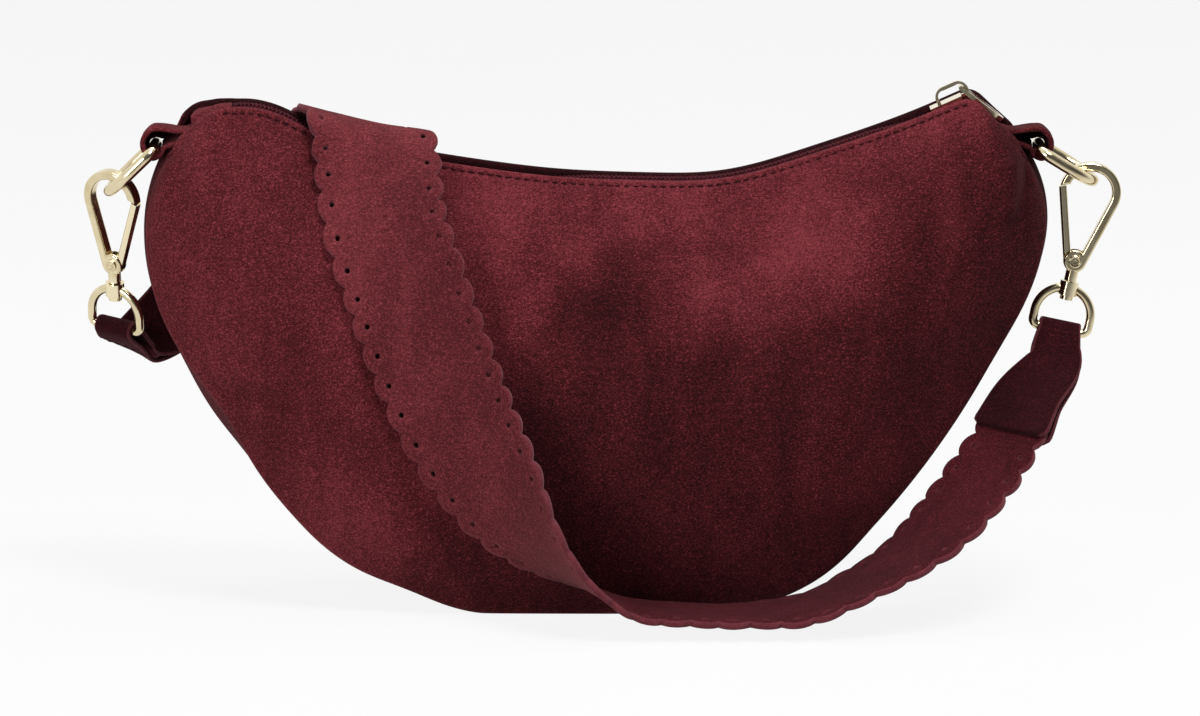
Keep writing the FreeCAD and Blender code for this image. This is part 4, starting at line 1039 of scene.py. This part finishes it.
def strap_pattern(first, last):
    """The flat strap: scalloped edges with a punched hole in each scallop, as points and faces."""
    count = round((last - first) / SCALLOP_PITCH)
    pitch = (last - first) / count
    tip = S.strap_width / 2
    notch = tip - SCALLOP_DEPTH
    inner = tip - BORDER
    hole = vec(pitch / 2, tip - HOLE_INSET, 0)
    radius = (pitch * pitch / 4 + (tip - notch) ** 2) / (2 * (tip - notch))
    columns = 4
    rows = 10
    border = [vec(pitch * k / columns, inner, 0) for k in range(columns)]
    border += [vec(pitch, inner + (notch - inner) * k / 3, 0) for k in range(3)]
    for k in range(8):
        x = pitch * (1 - k / 8)
        border.append(vec(x, tip - radius + math.sqrt(radius ** 2 - (x - pitch / 2) ** 2), 0))
    border += [vec(0, notch + (inner - notch) * k / 3, 0) for k in range(3)]
    rings = []
    for spot in border:
        away = (spot - hole).normalized()
        rim = hole + away * HOLE_RADIUS
        rings.append([rim, rim.lerp(spot, 0.3), rim.lerp(spot, 0.65), spot])
    points = []
    faces = []
    found = {}

    def index(spot):
        key = (round(spot.x * 200), round(spot.y * 200))
        if key not in found:
            found[key] = len(points)
            points.append(spot)
        return found[key]

    for tile in range(count):
        shift = vec(first + tile * pitch, 0, 0)
        for sign in (1, -1):
            for here, after in zip(rings, rings[1:] + rings[:1]):
                for ring in range(3):
                    quad = (here[ring], here[ring + 1], after[ring + 1], after[ring])
                    face = tuple(index(vec(p.x, p.y * sign, 0) + shift) for p in quad)
                    faces.append(face if sign > 0 else face[::-1])
        for k in range(columns):
            for row in range(rows):
                corners = ((k, row), (k + 1, row), (k + 1, row + 1), (k, row + 1))
                quad = [vec(pitch * i / columns, -inner + 2 * inner * j / rows, 0) for i, j in corners]
                faces.append(tuple(index(p + shift) for p in quad))
    return points, faces


def on_strap(spot, level):
    """A point of the flat strap put in its place: spot.x along, spot.y across, level over its middle."""
    tip = S.strap_width / 2
    point, across, normal = strap_at(spot.x)
    half = strap_width(spot.x) / 2
    y = spot.y
    if abs(y) > tip - KEPT_EDGE:
        y = math.copysign(half - (tip - abs(y)), y)
    else:
        y = y * (half - KEPT_EDGE) / (tip - KEPT_EDGE)
    share = spot.y / tip
    far = ease(min(spot.x, strap_total - spot.x), 50, 110)
    crest = hump(spot.x, crest_distance, 26)
    curl = 0.7 * share ** 4 * far * (1 - crest) + crest * (1.2 * (1 - share ** 2) - 2.2 * max(share, 0) ** 3)
    wave = far * 0.45 * abs(share) ** 2 * noise.noise(vec(spot.x / 14, share * 1.5, 3))
    sway = far * 0.35 * noise.noise(vec(spot.x / 38, share * 0.8, 9))
    return point + across * y + normal * (level + (curl + wave + sway))


def strap_piece():
    """The strap: two faces and a fuzzy cut edge, each with its own suede; the other face's suede is darker,
    painted shade.
    """
    flat, faces = strap_pattern(12.9, strap_total - 9)
    half = S.strap_thickness / 2
    sides = {pair: True for face in faces for pair in zip(face, face[1:] + face[:1])}
    border = [(a, b) for a, b in sides if (b, a) not in sides]
    push = {}
    for a, b in border:
        run = flat[b] - flat[a]
        out = vec(run.y, -run.x, 0).normalized()
        for k in (a, b):
            push[k] = push.get(k, V()) + out
    count = len(flat)
    points = [on_strap(p, half) for p in flat] + [on_strap(p, -half) for p in flat]
    rim = {}
    for k, out in push.items():
        rim[k] = len(points)
        fuzz = 0.3 + 0.25 * noise.noise(flat[k] * 3.7)
        if abs(flat[k].y) < S.strap_width / 2 - 3:
            fuzz = 0.1
        points.append(on_strap(flat[k] + out.normalized() * fuzz, 0))
    solid = list(faces) + [tuple(count + k for k in face[::-1]) for face in faces]
    walls = []
    for a, b in border:
        walls.append((b, a, rim[a], rim[b]))
        walls.append((rim[b], rim[a], count + a, count + b))
    obj = new_object("strap", points, solid + walls, strap_suede, "strap_suede", "strap")
    # The other face gets the strap suede with painted shade
    obj.data.materials.append(painted_shade_strap_underside)
    obj.data.materials.append(edge_suede)
    for polygon in obj.data.polygons[len(faces):]:
        polygon.material_index = 1
    for polygon in obj.data.polygons[len(solid):]:
        polygon.material_index = 2
    return obj


strap = strap_piece()


def strap_tab(name):
    """A suede piece folded round the eye's bar, one flap on each face of the strap's end."""
    length = S.strap_tab_length
    start = 0 if name == "left" else strap_total
    step = 1 if name == "left" else -1
    bar = S.eye_bar
    flap = S.flap
    loose = S.strap_thickness / 2 + S.flap_gap + flap / 2
    columns = 12
    edge_faces = 4
    distances = [0.6 + (length - 0.6) * k / 30 for k in range(31)]

    def width(distance):
        corner = 2.2 * (1 - math.sqrt(max(0.0, 1 - ease(distance, length - 3.5, length) ** 2)))
        return between(distance, 0, length, S.strap_tab_narrow, S.strap_tab_wide) - 2 * corner

    def spread(distance):
        return between(distance, 2 * bar, 5 * bar, bar + flap / 2, loose)

    flaps = {}
    for face in (1, -1):
        line = []
        for distance in distances:
            point, across, normal = strap_at(start + step * distance)
            line.append((point + normal * face * spread(distance), across, normal * face, width(distance)))
        flaps[face] = line
    point, across, normal = strap_at(start)
    near = strap_at(start + step * 1.5)[0]
    away = (point - near).normalized()
    fold = []
    for k in range(1, 8):
        way = normal * cosine(22.5 * k) + away * sine(22.5 * k)
        fold.append((point + way * (bar + flap / 2), across, way, width(0)))
    stations = flaps[1][::-1] + fold + flaps[-1]
    points, faces = band_mesh(stations, flap, columns)
    # The tab's suede has painted shade
    obj = new_object(f"{name}_strap_tab", points, faces, painted_shade_tab_suede, "strap_suede", f"{name}_strap_tab")
    obj.data.materials.append(tab_edge)
    ring = len(points) // len(stations)
    for polygon in list(obj.data.polygons)[:-2]:
        place = polygon.index % ring
        edge = columns <= place < columns + edge_faces or place >= ring - edge_faces
        polygon.material_index = 1 if edge else 0
    lines = []
    for face in (1, -1):
        for station in (6, 24):
            p, a, n, w = flaps[face][station]
            lines.append([(p + a * t / 10 * (w / 2 - 1.2) + n * flap / 2, n) for t in range(-10, 11)])
    stitch_piece(f"{name}_strap_tab_stitches", lines, TAB_STITCH_GAP, TAB_THREAD_RADIUS, "strap_suede", False)


for name in SIDES:
    strap_tab(name)

# Metal pieces keep their exact shape

GOLD_PIECES = ("side_ring", "hook_body", "hook_gate", "gate_rivet", "swivel_stud", "strap_eye", "zip_slider",
               "zip_pull")
for name, node in frame["nodes"].items():
    if name.endswith(GOLD_PIECES + ("gate_spring",)):
        node.data.materials.clear()
        node.data.materials.append(gold if name.endswith(GOLD_PIECES) else steel)

# Rivet caps: a raised ring and a dimple on each cheek of the hook, as (radius, height)

CAP = [(2.35, 2.32), (2.35, 2.6), (2.1, 2.95), (1.8, 3.0), (1.55, 2.86), (1.4, 2.83), (0.95, 2.9),
       (0.6, 2.86), (0.3, 2.84)]
joints = {joint["name"]: joint for joint in frame["joints"]}


def turned_piece(name, centre, axis, profile, body):
    """A turned piece: (radius, height) along an axis."""
    first = axis.orthogonal().normalized()
    second = axis.cross(first)
    sides = 24
    points = []
    for radius, height in profile:
        points += circle(centre + axis * height, first, second, radius, sides)
    return new_object(name, points, tube_faces(len(profile), sides), gold, "pale_gold", body=body)


for name in SIDES:
    hinge = joints[f"{name}_gate_swing"]
    centre = V(hinge["pos_m"]) / MM
    axis = V(hinge["axis"]).normalized()
    for label, way in (("near", 1), ("far", -1)):
        turned_piece(f"{name}_rivet_cap_{label}", centre, axis * way, CAP, f"{name}_hook")

# Floor, lamps and camera


def seen(t):
    """1 for the rays of the camera and of mirror-like and clear surfaces, else 0."""
    path = t.add("ShaderNodeLightPath").outputs
    direct = t.math("MAXIMUM", path["Is Camera Ray"], path["Is Transmission Ray"])
    return t.math("MAXIMUM", direct, path["Is Glossy Ray"])


def studio_level(t):
    """White for the camera. Mirror-like surfaces also see the studio's dark side, in front on the right."""
    path = t.add("ShaderNodeLightPath").outputs
    part = t.parts()
    aside = t.spread(part["X"], -1, 1, 0.5, -0.5)
    level = t.spread(t.math("ADD", part["Y"], aside), -0.75, -0.15, 0.1, 1.0)
    return t.math("MAXIMUM", path["Is Camera Ray"], level)


def floor_material():
    """A pale matt floor that looks near white and keeps the shadow."""
    n = Nodes("Pale floor")
    haze = n.noise(6, 3, 0.5)
    grain = n.noise(900, 2, 0.5)
    colour = n.ramp(haze, (0.3, (0.6, 0.6, 0.6)), (0.7, (0.64, 0.64, 0.64)))
    n.set(Base_Color=colour, Roughness=n.spread(grain, 0.3, 0.7, 0.8, 0.95), Specular_IOR_Level=0.0)
    glow = n.add("ShaderNodeEmission", Strength=studio_level(n)).outputs["Emission"]
    n.mix(n.spread(seen(n), 0, 1, 0, 0.88), n.shader.outputs["BSDF"], glow, "Material Output")
    return n.material


def make_floor():
    reach = 6.0
    mesh = bpy.data.meshes.new("floor")
    corners = [(-reach, -reach, 0), (reach, -reach, 0), (reach, reach, 0), (-reach, reach, 0)]
    mesh.from_pydata(corners, [], [(0, 1, 2, 3)])
    mesh.materials.append(floor_material())
    place_object("floor", mesh)


def make_lamp(name, place, target, size, energy):
    lamp = bpy.data.lights.new(name, "AREA")
    lamp.shape = "DISK"
    lamp.size = size
    lamp.energy = energy
    obj = place_object(name, lamp)
    obj.location = place
    obj.rotation_euler = (V(target) - V(place)).to_track_quat("-Z", "Y").to_euler()


def make_stage():
    scene = bpy.context.scene
    make_floor()
    world = bpy.data.worlds.new("Studio")
    world.use_nodes = True
    t = Tree(world.node_tree, "Generated")
    white = (1, 1, 1)
    soft = t.tree.nodes["Background"]
    t.fill(soft, Color=white, Strength=0.3)
    plain = t.add("ShaderNodeBackground", Color=white, Strength=studio_level(t))
    t.mix(seen(t), soft.outputs["Background"], plain.outputs["Background"], "World Output")
    scene.world = world
    make_lamp("key", (0.45, -0.75, 1.55), (0, 0, 0.1), size=0.7, energy=25)
    make_lamp("fill", (-1.0, -1.3, 0.45), (-0.1, 0, 0.05), size=0.8, energy=13)
    make_lamp("top", (0.1, 0.35, 1.6), (0, 0, 0.1), size=0.9, energy=9)
    camera = bpy.data.cameras.new("Camera")
    distance = 2.6
    field_width = 0.4295
    height_angle = 10
    camera.sensor_width = 36
    camera.lens = camera.sensor_width * distance / field_width
    obj = place_object("Camera", camera)
    target = V((0.00107, -0.01, 0.0886))
    obj.location = target + V((0, -cosine(height_angle), sine(height_angle))) * distance
    obj.rotation_euler = (math.radians(90 - height_angle), 0, 0)
    scene.camera = obj
    scene.view_settings.view_transform = "Standard"


make_stage()
